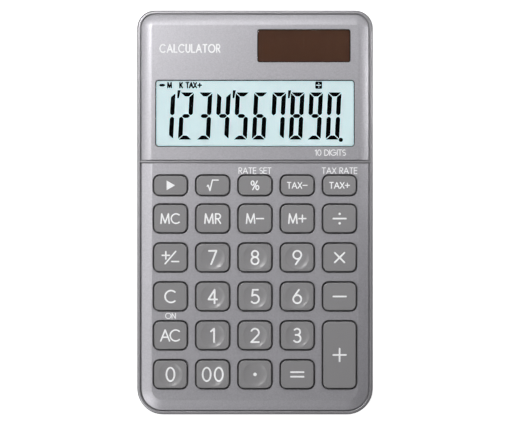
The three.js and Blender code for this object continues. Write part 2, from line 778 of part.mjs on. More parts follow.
KEYS.forEach((each) => add(each.name, keyCap(each), FINISH.key));
add("key_membrane", geometryOf(keyMembrane()), FINISH.silicone);
add("circuit_board", geometryOf(circuitBoard()), FINISH.board);
add("chip_cover", chipCover(), FINISH.epoxy);
add("smoothing_capacitor", geometryOf(smoothingCapacitor()), FINISH.ceramic);

add(
  "display_window",
  geometryOf(clearPane(0, displayY, displayWidth, display.length, display.radius)),
  FINISH.pane,
);
add(
  "solar_window",
  geometryOf(clearPane(solarPlace.x, solarPlace.y, solar.width, solar.length, solar.radius)),
  FINISH.pane,
);
add("lcd_glass", geometryOf(lcdGlass()), FINISH.glass);
add("lcd_polarizer", geometryOf(lcdFilm(height.frontGlass)), FINISH.film);
add("lcd_reflector", geometryOf(lcdFilm(height.reflector - clearance)), FINISH.film);
add("lcd_frame", geometryOf(lcdFrame()), FINISH.frame);
add("lcd_ribbon", lcdRibbon(), FINISH.ribbon);
add("solar_cell", geometryOf(solarCell()), FINISH.silicon);

add("coin_cell", coinCell(), FINISH.steel);
add("battery_contact_negative", negativeContact(), FINISH.steel);
add("battery_contact_positive", positiveContact(), FINISH.steel);
leads().forEach(([name, material, points]) => add(name, wireAlong(points), material));

SCREWS.forEach((each) => add(each.name, caseScrew(each), FINISH.steel));
FEET.forEach((each) => add(each.name, rubberFoot(each), FINISH.rubber));

export default calculator;
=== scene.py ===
"""A slim pocket calculator on a pale table: its moulded case, lacquered fascias, keys, display and inside.

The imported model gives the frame. Every size here is in metres, and every place comes from the boxes of its
nodes.
"""

import logging
import math
from collections.abc import Callable
from dataclasses import dataclass, field
from enum import Enum
from functools import cache
from typing import ClassVar

import bmesh
import bpy
from bmesh.types import BMEdge, BMesh, BMFace, BMVert
from bpy.types import Material, Node, NodeSocket, NodeTree, Object
from mathutils import Matrix, Vector


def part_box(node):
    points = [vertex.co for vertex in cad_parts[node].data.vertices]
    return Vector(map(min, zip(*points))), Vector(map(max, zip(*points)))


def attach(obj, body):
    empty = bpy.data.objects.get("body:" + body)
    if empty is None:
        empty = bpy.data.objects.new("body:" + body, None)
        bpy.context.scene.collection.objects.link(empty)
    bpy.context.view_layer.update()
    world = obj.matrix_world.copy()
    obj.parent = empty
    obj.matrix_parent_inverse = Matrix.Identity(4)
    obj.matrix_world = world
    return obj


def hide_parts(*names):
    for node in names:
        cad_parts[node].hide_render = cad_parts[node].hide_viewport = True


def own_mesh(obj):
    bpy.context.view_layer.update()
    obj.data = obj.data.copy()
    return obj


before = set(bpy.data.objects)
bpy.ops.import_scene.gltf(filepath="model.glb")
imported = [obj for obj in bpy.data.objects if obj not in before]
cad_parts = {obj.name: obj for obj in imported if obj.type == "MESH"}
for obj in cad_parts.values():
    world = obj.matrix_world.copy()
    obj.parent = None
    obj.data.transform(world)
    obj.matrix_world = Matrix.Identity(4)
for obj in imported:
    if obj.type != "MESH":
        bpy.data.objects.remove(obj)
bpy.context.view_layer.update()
log = logging.getLogger("calculator")

MM = 0.001
TINY = 1e-6
MERGE = 1e-7
HOUSING = "housing"
SOLID_PATCHES = 70
CLEAR_PATCHES = 90
CLEAR_HANDLING = 0.4
UP = Vector((0, 0, 1))
Colour = tuple[float, float, float]
Surface = Callable[[float, float], float]


# ---------------------------------------------------------------- finishes


class Graph:
    """Short hand for adding and joining the nodes of a material or a node group."""

    def __init__(self, tree: NodeTree) -> None:
        """Starts on a node tree."""
        self.tree = tree

    def node(self, kind: str, **values: object) -> Node:
        """Adds a node.

        Args:
            kind: the type's name without its ShaderNode part.
            values: attributes of the node, or default values of its inputs, with _ for a space.

        Returns:
            The new node.
        """
        node = self.tree.nodes.new(f"ShaderNode{kind}")
        for name, value in values.items():
            if hasattr(node, name):
                setattr(node, name, value)
            else:
                node.inputs[name.replace("_", " ")].default_value = value
        return node

    def link(self, start: NodeSocket, end: NodeSocket) -> None:
        """Joins an output to an input."""
        self.tree.links.new(start, end)

    def around_one(self, value: NodeSocket, amount: NodeSocket) -> NodeSocket:
        """Turns a value from 0 to 1 into a factor from 1 - amount to 1 + amount.

        Args:
            value: the socket that varies.
            amount: the socket that says by how much the factor may differ from 1.

        Returns:
            The factor's socket.
        """
        spread = self.node("Math", operation="MULTIPLY_ADD")
        self.link(value, spread.inputs[0])
        spread.inputs[1].default_value = 2
        spread.inputs[2].default_value = -1
        factor = self.node("Math", operation="MULTIPLY_ADD")
        self.link(spread.outputs[0], factor.inputs[0])
        self.link(amount, factor.inputs[1])
        factor.inputs[2].default_value = 1
        return factor.outputs[0]


def new_group(name: str, inputs: dict[str, str], outputs: dict[str, str]) -> tuple[Graph, Node, Node]:
    """Starts a shader node group.

    Args:
        name: the group's name.
        inputs: its input sockets, name to kind.
        outputs: its output sockets, name to kind.

    Returns:
        The group's graph, its input node and its output node.
    """
    tree = bpy.data.node_groups.new(name, "ShaderNodeTree")
    for direction, sockets in (("INPUT", inputs), ("OUTPUT", outputs)):
        for socket, kind in sockets.items():
            tree.interface.new_socket(socket, in_out=direction, socket_type=f"NodeSocket{kind}")
    graph = Graph(tree)
    return graph, tree.nodes.new("NodeGroupInput"), tree.nodes.new("NodeGroupOutput")


@cache
def grain_group() -> NodeTree:
    """The fine relief of a moulded or sprayed surface, which also varies its colour and its roughness."""
    graph, given, result = new_group(
        "Fine grain",
        {
            "Colour": "Color",
            "Contrast": "Float",
            "Scale": "Float",
            "Roughness": "Float",
            "Spread": "Float",
            "Relief": "Float",
        },
        {"Colour": "Color", "Roughness": "Float", "Normal": "Vector"},
    )
    place = graph.node("TexCoord")
    noise = graph.node("TexNoise", Detail=3.0, Roughness=0.6)
    graph.link(place.outputs["Object"], noise.inputs["Vector"])
    graph.link(given.outputs["Scale"], noise.inputs["Scale"])
    shade = graph.node("VectorMath", operation="SCALE")
    graph.link(given.outputs["Colour"], shade.inputs[0])
    graph.link(graph.around_one(noise.outputs[0], given.outputs["Contrast"]), shade.inputs["Scale"])
    graph.link(shade.outputs[0], result.inputs["Colour"])
    rough = graph.node("Math", operation="MULTIPLY", use_clamp=True)
    graph.link(given.outputs["Roughness"], rough.inputs[0])
    graph.link(graph.around_one(noise.outputs[0], given.outputs["Spread"]), rough.inputs[1])
    graph.link(rough.outputs[0], result.inputs["Roughness"])
    bump = graph.node("Bump", Strength=1.0)
    graph.link(noise.outputs[0], bump.inputs["Height"])
    graph.link(given.outputs["Relief"], bump.inputs["Distance"])
    graph.link(bump.outputs[0], result.inputs["Normal"])
    return graph.tree


@cache
def flake_group() -> NodeTree:
    """Metal flakes in a lacquer: small cells that are each a little lighter or darker."""
    graph, given, result = new_group(
        "Metal flake", {"Colour": "Color", "Scale": "Float", "Sparkle": "Float"}, {"Colour": "Color"}
    )
    place = graph.node("TexCoord")
    cells = graph.node("TexVoronoi")
    graph.link(place.outputs["Object"], cells.inputs["Vector"])
    graph.link(given.outputs["Scale"], cells.inputs["Scale"])
    tone = graph.node("SeparateColor")
    graph.link(cells.outputs["Color"], tone.inputs[0])
    shade = graph.node("VectorMath", operation="SCALE")
    graph.link(given.outputs["Colour"], shade.inputs[0])
    graph.link(graph.around_one(tone.outputs[0], given.outputs["Sparkle"]), shade.inputs["Scale"])
    graph.link(shade.outputs[0], result.inputs["Colour"])
    return graph.tree


@cache
def handling_group() -> NodeTree:
    """Broad, faint patches where fingers have polished or dulled a surface."""
    graph, given, result = new_group(
        "Handling", {"Roughness": "Float", "Scale": "Float", "Amount": "Float"}, {"Roughness": "Float"}
    )
    place = graph.node("TexCoord")
    noise = graph.node("TexNoise", Detail=4.0, Roughness=0.55, Distortion=0.6)
    graph.link(place.outputs["Object"], noise.inputs["Vector"])
    graph.link(given.outputs["Scale"], noise.inputs["Scale"])
    rough = graph.node("Math", operation="MULTIPLY", use_clamp=True)
    graph.link(given.outputs["Roughness"], rough.inputs[0])
    graph.link(graph.around_one(noise.outputs[0], given.outputs["Amount"]), rough.inputs[1])
    graph.link(rough.outputs[0], result.inputs["Roughness"])
    return graph.tree


@dataclass(frozen=True)
class Finish:
    """A solid finish: a base colour with grain and handling, and where it has them, flakes and a coat."""

    name: str
    colour: Colour
    roughness: float = 0.5
    metallic: float = 0.0
    contrast: float = 0.03
    grain: float = 2500.0
    spread: float = 0.1
    relief: float = 0.004 * MM
    sparkle: float = 0.0
    flakes: float = 4000.0
    handling: float = 0.12
    coat: float = 0.0
    coat_roughness: float = 0.15
    specular: float = 0.5
    # Emission in the finish's own colour: painted light on the display, the solar cell and the print, and an
    # even white on the table.
    glow: float = 0.0

    @cache
    def material(self) -> Material:
        """The finish as a material, made once."""
        material = bpy.data.materials.new(self.name)
        material.use_nodes = True
        graph = Graph(material.node_tree)
        shader = material.node_tree.nodes["Principled BSDF"]
        shader.inputs["Metallic"].default_value = self.metallic
        shader.inputs["Coat Weight"].default_value = self.coat
        shader.inputs["Coat Roughness"].default_value = self.coat_roughness
        shader.inputs["Specular IOR Level"].default_value = self.specular
        grain = graph.node(
            "Group",
            node_tree=grain_group(),
            Colour=(*self.colour, 1),
            Contrast=self.contrast,
            Scale=self.grain,
            Roughness=self.roughness,
            Spread=self.spread,
            Relief=self.relief,
        )
        handling = graph.node(
            "Group", node_tree=handling_group(), Scale=SOLID_PATCHES, Amount=self.handling
        )
        graph.link(grain.outputs["Roughness"], handling.inputs["Roughness"])
        graph.link(handling.outputs["Roughness"], shader.inputs["Roughness"])
        graph.link(grain.outputs["Normal"], shader.inputs["Normal"])
        colour = grain.outputs["Colour"]
        if self.sparkle:
            flake = graph.node(
                "Group", node_tree=flake_group(), Scale=self.flakes, Sparkle=self.sparkle
            )
            graph.link(colour, flake.inputs["Colour"])
            colour = flake.outputs["Colour"]
        graph.link(colour, shader.inputs["Base Color"])
        # The surface gives off light of its own colour though it is no lamp: painted light, except on the
        # table, where it keeps the floor evenly white.
        if self.glow:
            shader.inputs["Emission Color"].default_value = (*self.colour, 1)
            shader.inputs["Emission Strength"].default_value = self.glow
        return material


@dataclass(frozen=True)
class Clear:
    """A clear plastic or glass."""

    name: str
    tint: Colour = (1, 1, 1)
    roughness: float = 0.02
    ior: float = 1.49

    @cache
    def material(self) -> Material:
        """The finish as a material, made once."""
        material = bpy.data.materials.new(self.name)
        material.use_nodes = True
        shader = material.node_tree.nodes["Principled BSDF"]
        shader.inputs["Base Color"].default_value = (*self.tint, 1)
        shader.inputs["Transmission Weight"].default_value = 1
        shader.inputs["IOR"].default_value = self.ior
        graph = Graph(material.node_tree)
        handling = graph.node(
            "Group",
            node_tree=handling_group(),
            Roughness=self.roughness,
            Scale=CLEAR_PATCHES,
            Amount=CLEAR_HANDLING,
        )
        graph.link(handling.outputs["Roughness"], shader.inputs["Roughness"])
        return material


class Finishes(Enum):
    """Every finish of the calculator."""

    FASCIA = Finish(
        "silver_lacquer",
        (0.50, 0.49, 0.52),
        0.42,
        0.55,
        contrast=0.05,
        sparkle=0.07,
        coat=0.15,
        handling=0.06,
    )
    CASE = Finish("case_lacquer", (0.42, 0.412, 0.43), 0.38, 0.6, contrast=0.04, sparkle=0.04, coat=0.2)
    REAR = Finish("rear_texture", (0.18, 0.178, 0.185), 0.55, contrast=0.06, grain=1400, relief=0.03 * MM)
    KEY = Finish("key_moulding", (0.308, 0.302, 0.308), 0.25, relief=0.0004 * MM, handling=0.18)
    # The white print glows a little: painted light that makes it brighter than the lamps alone would.
    LEGEND = Finish("white_print", (0.93, 0.93, 0.94), 0.5, contrast=0.015, relief=0.001 * MM, glow=0.1)
    PANE = Clear("clear_acrylic")
    CELL_GLASS = Clear("display_sheets", (0.93, 0.97, 0.96), 0.01, 1.52)
    # The display's pale face glows: painted light, standing in for the light that the clear pane in front of
    # it keeps from it. The reflector and the pale divide sign share this glow.
    DISPLAY_FACE = Finish(
        "display_face",
        (0.72, 0.89, 0.915),
        contrast=0.012,
        relief=0.0,
        handling=0.03,
        specular=0.1,
        glow=0.45,
    )
    INK = Finish("display_ink", (0.003, 0.003, 0.004), 0.6, contrast=0.05, relief=0.0, specular=0.05)
    WHITE = Finish("frame_plastic", (0.72, 0.72, 0.69), 0.5)
    RIBBON = Finish("ribbon_strip", (0.06, 0.05, 0.04), 0.35, grain=900)
    # The solar cell glows: painted light, standing in for the light that the clear pane in front of it keeps
    # from it.
    SOLAR = Finish(
        "solar_silicon",
        (0.088, 0.041, 0.025),
        0.3,
        contrast=0.06,
        grain=500,
        relief=0.0,
        specular=0.1,
        glow=0.32,
    )
    # The scribe lines are the cell's own; their glow is painted light, as on the cell.
    SOLAR_LINE = Finish("solar_scribe", (0.105, 0.051, 0.033), 0.4, specular=0.1, glow=0.3)
    SILICONE = Finish("soft_silicone", (0.5, 0.54, 0.57), 0.6, contrast=0.05, grain=700)
    LAMINATE = Finish("paper_laminate", (0.36, 0.19, 0.06), 0.5, contrast=0.14, grain=420, relief=0.01 * MM)
    CARBON = Finish("carbon_pad", (0.02, 0.02, 0.022), 0.7, contrast=0.2, grain=3200)
    RESIN = Finish("poured_resin", (0.008, 0.008, 0.009), 0.2, relief=0.01 * MM, grain=600, coat=0.5)
    CERAMIC = Finish("fired_ceramic", (0.46, 0.31, 0.17), 0.45, contrast=0.1)
    BRIGHT = Finish("nickel_plate", (0.62, 0.61, 0.59), 0.22, 1.0, contrast=0.05, handling=0.4)
    SCREW = Finish("zinc_plate", (0.42, 0.42, 0.43), 0.32, 1.0, contrast=0.12, handling=0.4)
    RED = Finish("red_sleeve", (0.42, 0.02, 0.012), 0.4, contrast=0.08)
    BLACK = Finish("black_sleeve", (0.012, 0.012, 0.013), 0.4, contrast=0.08)
    # Painted shade: a near black ring round each window opening, standing in for the shade that the
    # opening's edge casts on what lies below it.
    PAINTED_SHADE = Finish("window_painted_shade", (0.03, 0.032, 0.034), 0.5, contrast=0.05, relief=0.0, specular=0.1)
    RUBBER = Finish("soft_rubber", (0.045, 0.045, 0.048), 0.8, contrast=0.15, grain=1800, relief=0.02 * MM)
    TABLE = Finish("table", (0.86, 0.86, 0.86), 0.6, contrast=0.004, relief=0.0, glow=1.0)

    def material(self) -> Material:
        """The finish's material."""
        return self.value.material()


# ---------------------------------------------------------------- making meshes


@dataclass
class Outline:
    """A rectangle with round corners, whose lower corners may have their own radius."""

    width: float
    length: float
    radius: float
    centre: tuple[float, float] = (0.0, 0.0)
    lower_radius: float | None = None
    segments: int = 8

    @staticmethod
    def of(node: str, radius: float, segments: int, lower_radius: float | None = None) -> "Outline":
        """The outline of a node's box.

        Args:
            node: the node.
            radius: the radius of its corners.
            segments: the number of facets in each corner.
            lower_radius: the radius of its lower corners, where they have their own.

        Returns:
            The outline.
        """
        low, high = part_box(node)
        return Outline(high.x - low.x, high.y - low.y, radius, middle_of(node), lower_radius, segments)

    def grown(self, by: float) -> "Outline":
        """The same outline, moved outwards.

        Args:
            by: how far it is moved, and inwards where it is negative.

        Returns:
            The new outline.
        """
        lower = None if self.lower_radius is None else self.lower_radius + by
        return Outline(
            self.width + 2 * by, self.length + 2 * by, self.radius + by, self.centre, lower, self.segments
        )

    def face(self, bm: BMesh, z: float) -> BMFace:
        """Draws the outline as one flat face.

        Args:
            bm: the mesh it is drawn in.
            z: the height of the face.

        Returns:
            The face, which faces up.
        """
        before = set(bm.faces)
        place = Matrix.Translation((*self.centre, z)) @ Matrix.Diagonal((self.width, self.length, 1, 1))
        corners = bmesh.ops.create_grid(bm, x_segments=1, y_segments=1, size=0.5, matrix=place)["verts"]
        middle = self.centre[1]
        lower = self.radius if self.lower_radius is None else self.lower_radius
        for radius, wanted in ((self.radius, True), (lower, False)):
            chosen = [v for v in corners if v.is_valid and (v.co.y > middle) == wanted]
            round_corners(bm, chosen, radius, self.segments)
        return next(face for face in bm.faces if face not in before)

    def prism(self, bm: BMesh, z: float, height: float) -> None:
        """Draws the outline as a straight-sided solid.

        Args:
            bm: the mesh it is drawn in.
            z: the height of its first end.
            height: how far up its other end is.
        """
        Slab(bm, self.face(bm, z)).rise(height)


class Slab:
    """A face that is raised into a closed solid, step by step."""

    def __init__(self, bm: BMesh, face: BMFace) -> None:
        """Starts on a flat face, which stays as the other end of the solid."""
        self.bm = bm
        self.top = face

    def rise(self, height: float) -> "Slab":
        """Raises the end face.

        Args:
            height: how far it is raised, and lowered where it is negative.

        Returns:
            The slab.
        """
        start = self.top
        inside = not self._alone()
        made = bmesh.ops.extrude_face_region(self.bm, geom=[start])["geom"]
        self.top = next(part for part in made if isinstance(part, BMFace))
        bmesh.ops.translate(self.bm, verts=self.top.verts, vec=UP * height)
        if inside and start.is_valid:
            bmesh.ops.delete(self.bm, geom=[start], context="FACES_ONLY")
        return self

    def _alone(self) -> bool:
        """Whether the end face is still the only face."""
        return all(len(edge.link_faces) == 1 for edge in self.top.edges)

    def step(self, inset: float, height: float) -> "Slab":
        """Moves the end face's edge inwards and its plane up.

        Args:
            inset: how far its edge moves inwards.
            height: how far its plane moves up.

        Returns:
            The slab.
        """
        if self._alone():
            bmesh.ops.duplicate(self.bm, geom=[self.top])
        bmesh.ops.inset_region(
            self.bm, faces=[self.top], thickness=inset, depth=0, use_even_offset=True, use_boundary=True
        )
        bmesh.ops.translate(self.bm, verts=self.top.verts, vec=UP * height)
        return self

    def roll(self, inset: float, height: float, steps: int, power: float = 2.0) -> "Slab":
        """Rounds the edge over by a quarter of an ellipse.

        Args:
            inset: how far the edge moves inwards in all.
            height: how far the plane moves in all.
            steps: the number of facets.
            power: 2 is an ellipse, and more is squarer.

        Returns:
            The slab.
        """
        places = []
        for i in range(steps + 1):
            angle = i / steps * math.pi / 2
            places.append((1 - math.cos(angle) ** (2 / power), math.sin(angle) ** (2 / power)))
        for (x0, z0), (x1, z1) in zip(places, places[1:]):
            self.step((x1 - x0) * inset, (z1 - z0) * height)
        return self


def round_corners(
    bm: BMesh, corners: list[BMVert], radius: float, segments: int
) -> None:
    """Rounds corners of a flat face.

    Args:
        bm: the mesh.
        corners: the corners.
        radius: their radius.
        segments: the number of facets in each.
    """
    bmesh.ops.bevel(
        bm,
        geom=corners,
        offset=radius,
        offset_type="OFFSET",
        segments=segments,
        profile=0.5,
        affect="VERTICES",
        material=-1,
    )


def ease(bm: BMesh, edges: list[BMEdge], size: float, segments: int) -> None:
    """Takes the sharpness off edges.

    Args:
        bm: the mesh.
        edges: the edges.
        size: how far the rounding reaches.
        segments: the number of facets in it.
    """
    bmesh.ops.bevel(bm, geom=edges, offset=size, segments=segments, profile=0.5, affect="EDGES", material=-1)


def edges_of(verts: list[BMVert]) -> list[BMEdge]:
    """Every edge that meets one of the vertices."""
    return list({edge for vert in verts for edge in vert.link_edges})


def moved(made: list[BMVert | BMEdge | BMFace]) -> list[BMVert]:
    """The vertices among what an operator made."""
    return [part for part in made if isinstance(part, BMVert)]


def box_between(bm: BMesh, low: Vector, high: Vector) -> list[BMVert]:
    """Adds a box between two corners.

    Args:
        bm: the mesh it is added to.
        low: its lowest corner.
        high: its highest corner.

    Returns:
        Its vertices.
    """
    size = high - low
    place = Matrix.Translation((low + high) / 2) @ Matrix.Diagonal((*size, 1))
    return bmesh.ops.create_cube(bm, size=1, matrix=place)["verts"]


def turned(
    bm: BMesh, profile: list[tuple[float, float]], centre: tuple[float, float], steps: int = 32
) -> list[BMVert]:
    """Adds a surface of revolution about a vertical line.

    Args:
        bm: the mesh it is added to.
        profile: its points, as radius and height, in order.
        centre: the line's place.
        steps: the number of facets round it.

    Returns:
        Its vertices.
    """
    axis = Vector((*centre, 0))
    points = [bm.verts.new(axis + Vector((radius, 0, z))) for radius, z in profile]
    pairs = list(zip(points, points[1:]))
    edges = [bm.edges.new(pair) for pair in pairs if any((end.co - axis).xy.length > 0 for end in pair)]
    bmesh.ops.spin(
        bm, geom=points + edges, cent=axis, axis=UP, angle=2 * math.pi, steps=steps, use_merge=True
    )
    verts = [v for v in bm.verts if (v.co - axis).xy.length < max(r for r, _ in profile) + TINY]
    bmesh.ops.remove_doubles(bm, verts=verts, dist=MERGE)
    return [v for v in verts if v.is_valid]


def tube(
    bm: BMesh,
    radii: tuple[float, float],
    heights: tuple[float, float],
    centre: tuple[float, float],
    steps: int = 32,
) -> None:
    """Adds an upright tube, or a rod where its inner radius is 0.

    Args:
        bm: the mesh it is added to.
        radii: its inner and outer radius.
        heights: its lower and upper end.
        centre: the place of its axis.
        steps: the number of facets round it.
    """
    (inner, outer), (low, high) = radii, heights
    section = [(inner, low), (outer, low), (outer, high), (inner, high)]
    if inner > 0:
        section.append(section[0])
    turned(bm, section, centre, steps)


def place_object(name: str, bm: BMesh) -> Object:
    """Puts a mesh into the scene, with its doubles merged and its faces pointing outwards.

    Args:
        name: the object's name.
        bm: its mesh, which is used up.

    Returns:
        The object.
    """
    bmesh.ops.remove_doubles(bm, verts=bm.verts, dist=MERGE)
    bmesh.ops.recalc_face_normals(bm, faces=bm.faces)
    mesh = bpy.data.meshes.new(name)
    bm.to_mesh(mesh)
    bm.free()
    made = bpy.data.objects.new(name, mesh)
    bpy.context.scene.collection.objects.link(made)
    return made


def carve(body: BMesh, *cutters: BMesh) -> BMesh:
    """Cuts solids out of another.

    Args:
        body: the solid that is cut, which is used up.
        cutters: what is taken out of it, which is used up. Solids in one of them don't overlap.

    Returns:
        What is left of the body.
    """
    made = [place_object("body", body)]
    for cutter in cutters:
        made.append(place_object("cutter", cutter))
        modifier = made[0].modifiers.new("Cut", "BOOLEAN")
        modifier.operation = "DIFFERENCE"
        modifier.solver = "MANIFOLD"
        modifier.object = made[-1]
    bpy.context.view_layer.update()
    result = bmesh.new()
    result.from_object(made[0], bpy.context.evaluated_depsgraph_get())
    for used in made:
        mesh = used.data
        bpy.data.objects.remove(used)
        bpy.data.meshes.remove(mesh)
    return result


def piece(
    name: str,
    bm: BMesh,
    finish: Finishes,
    body: str = HOUSING,
    replaces: tuple[str, ...] = (),
    smooth: float = 32.0,
) -> Object:
    """Turns a mesh under construction into a finished piece on its body.

    Args:
        name: the piece's name.
        bm: its mesh, which is used up.
        finish: its finish.
        body: the body it rides on.
        replaces: the nodes it stands for.
        smooth: the largest angle between faces that are shaded as one surface, in degrees.

    Returns:
        The piece.
    """
    made = place_object(name, bm)
    mesh = made.data
    mesh.shade_smooth()
    mesh.set_sharp_from_angle(angle=math.radians(smooth))
    mesh.materials.append(finish.material())
    normals = made.modifiers.new("Even shading", "WEIGHTED_NORMAL")
    normals.keep_sharp = True
    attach(made, body)
    if replaces:
        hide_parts(*replaces)
    log.info("%s: %d faces on %s", name, len(mesh.polygons), body)
    return made


def dress(node: str, finish: Finishes) -> None:
    """Gives a node that is shown as it is a finish.

    Args:
        node: the node.
        finish: its finish.
    """
    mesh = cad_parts[node].data
    mesh.materials.clear()
    mesh.materials.append(finish.material())
    log.info("%s: kept, in %s", node, finish.value.name)


def middle_of(node: str) -> tuple[float, float]:
    """The middle of a node's box, seen from above."""
    low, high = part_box(node)
    return (low.x + high.x) / 2, (low.y + high.y) / 2


def radius_of(node: str) -> float:
    """Half the width of a node's box, which is the radius of a round one."""
    low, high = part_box(node)
    return (high.x - low.x) / 2


# ---------------------------------------------------------------- lettering


@dataclass(frozen=True)
class Bar:
    """A straight stroke between two points."""

    x0: float
    y0: float
    x1: float
    y1: float


@dataclass(frozen=True)
class Arc:
    """A round stroke: centre, radius, start and sweep in degrees, anticlockwise."""

    x: float
    y: float
    radius: float
    start: float
    sweep: float


@dataclass(frozen=True)
class Ring:
    """A closed oval stroke: centre and half axes."""

    x: float
    y: float
    across: float
    up: float


@dataclass(frozen=True)
class Dot:
    """A filled spot: centre, radius and number of sides."""

    x: float
    y: float
    radius: float
    sides: int = 20


Stroke = Bar | Arc | Ring | Dot


def path(*points: tuple[float, float]) -> tuple[Bar, ...]:
    """Straight strokes from each point to the next."""
    return tuple(Bar(*a, *b) for a, b in zip(points, points[1:]))


GLYPHS: dict[str, tuple[float, tuple[Stroke, ...]]] = {
    "0": (0.60, (Ring(0.30, 0.5, 0.30, 0.5),)),
    "1": (0.30, path((0.25, 0), (0.25, 1), (0.02, 0.8))),
    "2": (0.58, (Arc(0.29, 0.71, 0.29, 165, -200), *path((0.53, 0.545), (0, 0), (0.58, 0)))),
    "3": (
        0.54,
        (Arc(0.25, 0.77, 0.23, 155, -245), Arc(0.25, 0.27, 0.27, 90, -245), Bar(0.14, 0.54, 0.25, 0.54)),
    ),
    "4": (0.64, (*path((0.46, 1), (0, 0.28), (0.64, 0.28)), Bar(0.46, 1, 0.46, 0))),
    "5": (0.57, (*path((0.5, 1), (0.13, 1), (0.07, 0.55)), Arc(0.27, 0.31, 0.31, 130, -280))),
    "6": (0.60, (Ring(0.30, 0.30, 0.30, 0.30), Bar(0.42, 1, 0.055, 0.475))),
    "7": (0.56, path((0, 1), (0.56, 1), (0.16, 0))),
    "8": (0.54, (Ring(0.27, 0.765, 0.235, 0.235), Ring(0.27, 0.265, 0.27, 0.265))),
    "9": (0.60, (Ring(0.30, 0.70, 0.30, 0.30), Bar(0.545, 0.525, 0.18, 0))),
    "A": (0.80, (*path((0, 0), (0.4, 1), (0.8, 0)), Bar(0.15, 0.34, 0.65, 0.34))),
    "C": (0.90, (Arc(0.5, 0.5, 0.5, 42, 276),)),
    "D": (0.70, (*path((0, 0), (0, 1), (0.2, 1)), Arc(0.2, 0.5, 0.5, 90, -180), Bar(0.2, 0, 0, 0))),
    "E": (0.48, (*path((0, 0), (0, 1), (0.48, 1)), Bar(0, 0.52, 0.44, 0.52), Bar(0, 0, 0.48, 0))),
    "G": (1.00, (Arc(0.5, 0.5, 0.5, 45, 315), Bar(0.55, 0.5, 1, 0.5))),
    "I": (0.00, (Bar(0, 0, 0, 1),)),
    "K": (0.56, (Bar(0, 0, 0, 1), Bar(0, 0.36, 0.52, 1), Bar(0.17, 0.54, 0.56, 0))),
    "L": (0.46, path((0, 1), (0, 0), (0.46, 0))),
    "M": (0.86, path((0, 0), (0.08, 1), (0.43, 0.05), (0.78, 1), (0.86, 0))),
    "N": (0.64, path((0, 0), (0, 1), (0.64, 0), (0.64, 1))),
    "O": (1.00, (Ring(0.5, 0.5, 0.5, 0.5),)),
    "R": (
        0.52,
        (
            *path((0, 0), (0, 1), (0.25, 1)),
            Arc(0.25, 0.74, 0.26, 90, -180),
            Bar(0.25, 0.48, 0, 0.48),
            Bar(0.22, 0.48, 0.52, 0),
        ),
    ),
    "S": (0.50, (Arc(0.25, 0.75, 0.25, 35, 235), Arc(0.25, 0.25, 0.25, 90, -235))),
    "T": (0.60, (Bar(0, 1, 0.6, 1), Bar(0.3, 1, 0.3, 0))),
    "U": (0.60, (Bar(0, 1, 0, 0.3), Arc(0.3, 0.3, 0.3, 180, 180), Bar(0.6, 0.3, 0.6, 1))),
    "X": (0.64, (Bar(0, 0, 0.64, 1), Bar(0, 1, 0.64, 0))),
    " ": (0.28, ()),
    "+": (0.72, (Bar(0, 0.5, 0.72, 0.5), Bar(0.36, 0.14, 0.36, 0.86))),
    "-": (0.72, (Bar(0, 0.5, 0.72, 0.5),)),
    "%": (0.88, (Ring(0.17, 0.76, 0.17, 0.24), Ring(0.71, 0.24, 0.17, 0.24), Bar(0.70, 1, 0.18, 0))),
    "root": (1.06, path((0, 0.42), (0.1, 0.52), (0.27, 0), (0.5, 1), (1.06, 1))),
    "sign": (
        1.34,
        (
            Bar(0, 0.68, 0.6, 0.68),
            Bar(0.3, 0.38, 0.3, 0.98),
            Bar(0.24, 0, 1.1, 1),
            Bar(0.78, 0.18, 1.34, 0.18),
        ),
    ),
    "back": (0.72, (Dot(0.26, 0.5, 0.58, 3),)),
    "divide": (1.00, (Bar(0, 0.5, 1, 0.5), Dot(0.5, 0.87, 0.1), Dot(0.5, 0.13, 0.1))),
    "times": (0.78, (Bar(0, 0.11, 0.78, 0.89), Bar(0, 0.89, 0.78, 0.11))),
    "minus": (1.00, (Bar(0, 0.5, 1, 0.5),)),
    "plus": (1.00, (Bar(0, 0.5, 1, 0.5), Bar(0.5, 0, 0.5, 1))),
    "equals": (1.00, (Bar(0, 0.32, 1, 0.32), Bar(0, 0.68, 1, 0.68))),
    "point": (0.00, (Dot(0, 0.5, 0.125),)),
}


